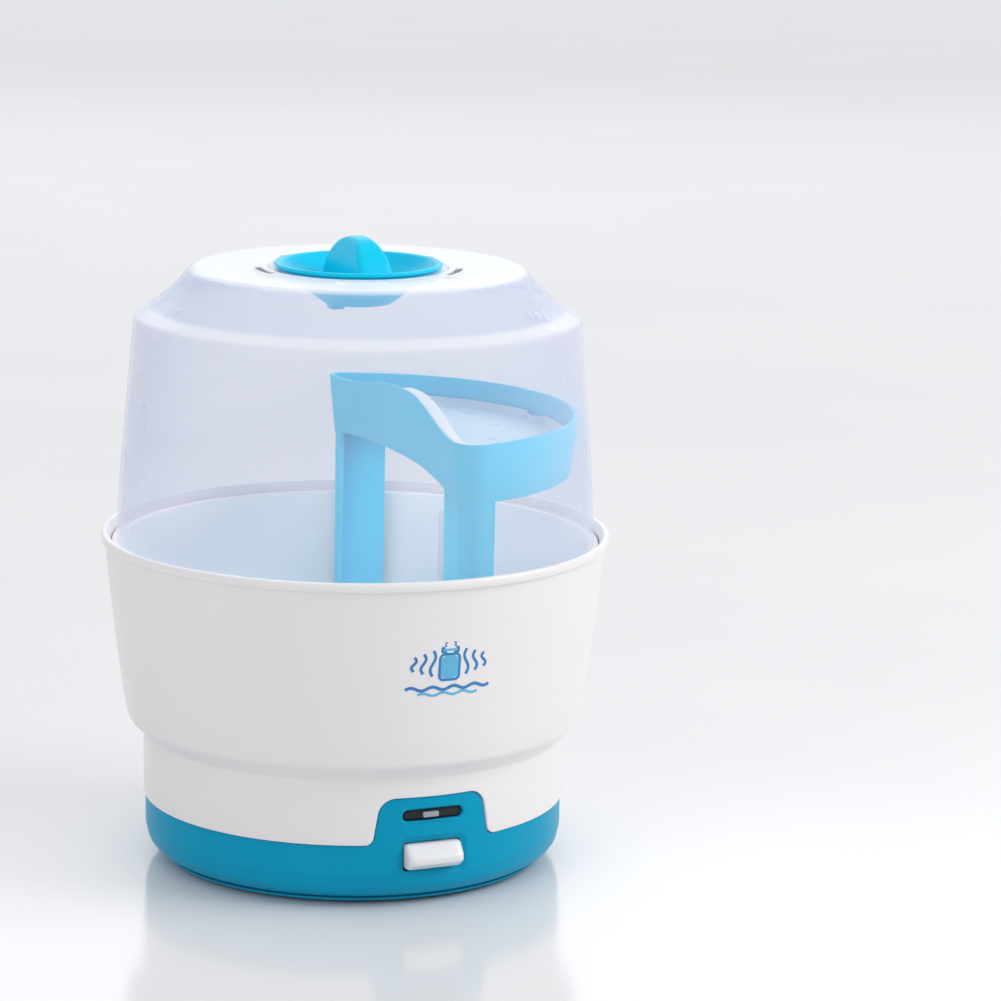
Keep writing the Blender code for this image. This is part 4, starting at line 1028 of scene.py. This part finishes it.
# ---- finishes of the CAD parts that stay in view -------------------------------------------------
def carry_over(materials):
    """Gives the pieces that keep their CAD shape their materials."""
    for names, mat in materials:
        for name in names:
            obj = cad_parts[name]
            obj.data.materials.clear()
            obj.data.materials.append(mat)


# ---- stage ---------------------------------------------------------------------------------------
def camera():
    """Camera a little above the object, to the left of its front."""
    data = bpy.data.cameras.new("main_camera")
    data.sensor_width = 36.0
    data.lens = 145.8
    data.clip_end = 100.0
    made = bpy.data.objects.new("main_camera", data)
    bpy.context.collection.objects.link(made)
    around = math.radians(22.0)
    distance, height = 2.188, 0.648
    yaw, pitch, roll = 0.03636 + around, 0.20182, 0.0175
    made.location = (-distance * math.sin(around), -distance * math.cos(around), height)
    look = Vector((math.sin(yaw) * math.cos(pitch), math.cos(yaw) * math.cos(pitch), -math.sin(pitch)))
    made.rotation_mode = "QUATERNION"
    made.rotation_quaternion = look.to_track_quat("-Z", "Y") @ Quaternion((0, 0, 1), roll)
    bpy.context.scene.camera = made


def area_light(name, at, aim, size, power, colour=(1, 1, 1)):
    """Rectangular light aimed at a point, in metres and watts."""
    data = bpy.data.lights.new(name, "AREA")
    data.shape = "RECTANGLE"
    data.size, data.size_y = size
    data.energy = power
    data.color = colour
    made = bpy.data.objects.new(name, data)
    bpy.context.collection.objects.link(made)
    made.location = at
    made.rotation_mode = "QUATERNION"
    made.rotation_quaternion = (Vector(aim) - Vector(at)).to_track_quat("-Z", "Y")
    return made


def stage():
    """Pale counter, bright backdrop, three soft lights and a small one inside the chamber."""
    mat, nodes, links = new_material("pale_counter")
    shader = nodes["Principled BSDF"]
    coords = nodes.new("ShaderNodeTexCoord").outputs["Object"]
    cloud = noise(nodes, links, coords, 3.0, 3.0)
    links.new(ramp(nodes, links, cloud, ((0.3, (0.79, 0.795, 0.80)), (0.7, (0.82, 0.82, 0.825)))),
              shader.inputs["Base Color"])
    shader.inputs["Roughness"].default_value = 0.14
    shader.inputs["Specular IOR Level"].default_value = 0.32
    size = 12.0
    mesh = bpy.data.meshes.new("counter")
    mesh.from_pydata([(-size, -size, 0), (size, -size, 0), (size, size * 3, 0), (-size, size * 3, 0)], [],
                     [(0, 1, 2, 3)])
    link("counter", mesh, mat)
    world = bpy.data.worlds.new("studio")
    world.use_nodes = True
    nodes, links = world.node_tree.nodes, world.node_tree.links
    sky = nodes.new("ShaderNodeSeparateXYZ")
    links.new(nodes.new("ShaderNodeTexCoord").outputs["Generated"], sky.inputs["Vector"])
    backdrop = nodes.new("ShaderNodeMapRange")
    for name, value in (("From Min", 0.2), ("From Max", 0.8), ("To Min", 0.72), ("To Max", 0.93)):
        backdrop.inputs[name].default_value = value
    links.new(sky.outputs["Y"], backdrop.inputs["Value"])
    nodes["Background"].inputs["Color"].default_value = (0.97, 0.975, 1.0, 1.0)
    links.new(backdrop.outputs["Result"], nodes["Background"].inputs["Strength"])
    bpy.context.scene.world = world
    middle = (0, 0, 0.17)
    area_light("key_right", (1.7, -1.1, 1.5), middle, (1.4, 1.4), 26.0, (1.0, 0.99, 0.97))
    area_light("fill_left", (-1.9, -1.2, 1.0), middle, (1.6, 1.6), 6.5, (0.92, 0.95, 1.0))
    area_light("rim_back", (1.3, 3.4, 1.9), middle, (4.0, 1.6), 22.0, (0.97, 0.985, 1.0))
    inside = area_light("inside_soft", (0.0, 0.0, 0.214), (0.0, 0.0, 0.1), (0.17, 0.17), 0.10,
                        (1.0, 0.91, 0.86))
    inside.visible_camera = False
    bpy.context.scene.view_settings.view_transform = "Standard"


def build():
    """Makes the materials and every piece."""
    white = plastic("casing_white", (0.86, 0.84, 0.84), (0.285, 0.292), 0.008, grain_bump=0.03,
                    sheen_scale=3.0, soft_bump=0.0)
    blue = plastic("trim_blue", (0.0, 0.325, 0.53), (0.30, 0.38), 0.03, specular=0.12)
    knob_blue = plastic("knob_blue", (0.0, 0.62, 0.87), (0.30, 0.38), 0.03, specular=0.16)
    rack_blue = plastic("rack_blue", (0.0, 0.66, 0.92), (0.34, 0.44), 0.03, specular=0.18)
    tub_white = plastic("tub_white", (0.93, 0.89, 0.88), (0.35, 0.48), 0.01)
    cap_white = plastic("cap_white", (0.96, 0.96, 0.95), (0.35, 0.45), 0.015)
    strip_grey = plastic("strip_grey", (0.45, 0.52, 0.60), (0.35, 0.45), 0.03)
    lever_white = plastic("lever_white", (0.84, 0.84, 0.85), (0.18, 0.28), 0.01, coat=0.3)
    lid_clear = lid_plastic()
    mark_clear = plastic("lid_mark", (0.80, 0.84, 0.95), (0.25, 0.35), 0.03, alpha=0.35)
    tray_clear = plastic("tray_clear", (0.72, 0.88, 1.0), (0.25, 0.35), 0.03, alpha=0.88)
    lens_dark = plastic("lens_smoked", (0.012, 0.012, 0.016), (0.08, 0.16), 0.2, alpha=0.72, grain_bump=0.02)
    lamp_grey = plastic("lamp_window_grey", (0.34, 0.36, 0.40), (0.12, 0.2), 0.1)
    # Dark grey of the sheets under the vents: painted shade.
    vent_shade_grey = plastic("vent_screen_grey", (0.06, 0.065, 0.08), (0.4, 0.5), 0.2)
    ink = plastic("printed_blue", (0.03, 0.22, 0.52), (0.4, 0.5), 0.06)
    ink_light = plastic("printed_light_blue", (0.12, 0.48, 0.74), (0.4, 0.5), 0.06)
    foot_rubber = rubber("foot_rubber", (0.035, 0.035, 0.04))
    silicone = rubber("gasket_silicone", (0.62, 0.62, 0.60))
    steel = brushed_metal("steel_parts", (0.60, 0.60, 0.62), 0.30)
    plate_steel = turned_metal("plate_steel", (0.63, 0.63, 0.64), 0.24)
    aluminium = brushed_metal("heater_sheath", (0.52, 0.52, 0.53), 0.42, (1, 1, 1), 260.0)
    brass = brushed_metal("brass_tabs", (0.68, 0.50, 0.22), 0.34, (1, 30, 1))
    ceramic = plastic("ceramic_parts", (0.74, 0.71, 0.64), (0.45, 0.6), 0.05, grain_bump=0.3)
    black = plastic("switch_black", (0.018, 0.018, 0.02), (0.35, 0.5), 0.2)
    plate_dark = plastic("rating_plate_grey", (0.45, 0.47, 0.50), (0.35, 0.45), 0.03)
    neon = plastic("lamp_neon", (0.62, 0.24, 0.10), (0.08, 0.15), 0.05)
    grey = plastic("holder_grey", (0.30, 0.31, 0.32), (0.35, 0.5), 0.1)
    wire_brown = plastic("wire_brown", (0.16, 0.06, 0.025), (0.4, 0.55), 0.1)
    wire_blue = plastic("wire_blue", (0.02, 0.08, 0.34), (0.4, 0.55), 0.1)

    camera()
    stage()
    trim_ring(blue)
    base_housing(white)
    printed_mark(ink, ink_light)
    bottom_cover(blue, plate_dark)
    feet(foot_rubber)
    for i in range(4):
        cross_screw("cover_screw_%d" % (i + 1), polar(86.0, 45.0 + 90.0 * i), steel)
    lever(lever_white)
    indicator(lens_dark, lamp_grey)
    cord_bushing(foot_rubber)
    inner_tub(tub_white)
    heating_plate(plate_steel)
    bottle_rack(rack_blue)
    rack_frame(rack_blue)
    leg_strip(strip_grey)
    grip_inlay(cap_white)
    accessory_tray(tray_clear)
    lid_shell(lid_clear, vent_shade_grey)
    lid_marks(mark_clear)
    lid_knob(knob_blue)
    carry_over([
        (("plate_gasket",), silicone),
        (("plate_clamp", "clamp_screw_1", "clamp_screw_2", "clamp_screw_3", "thermostat_bracket", "lever_pin",
          "lever_spring"), steel),
        (("heater_element",), aluminium),
        (("heater_terminal_left", "heater_terminal_right", "switch_tab_left", "switch_tab_right"), brass),
        (("thermostat", "thermal_fuse", "terminal_block"), ceramic),
        (("switch_body",), black),
        (("lamp_holder",), grey),
        (("indicator_lamp",), neon),
        (("wire_switch_feed", "wire_heater_feed"), wire_brown),
        (("wire_lamp_feed",), wire_blue),
    ])


build()
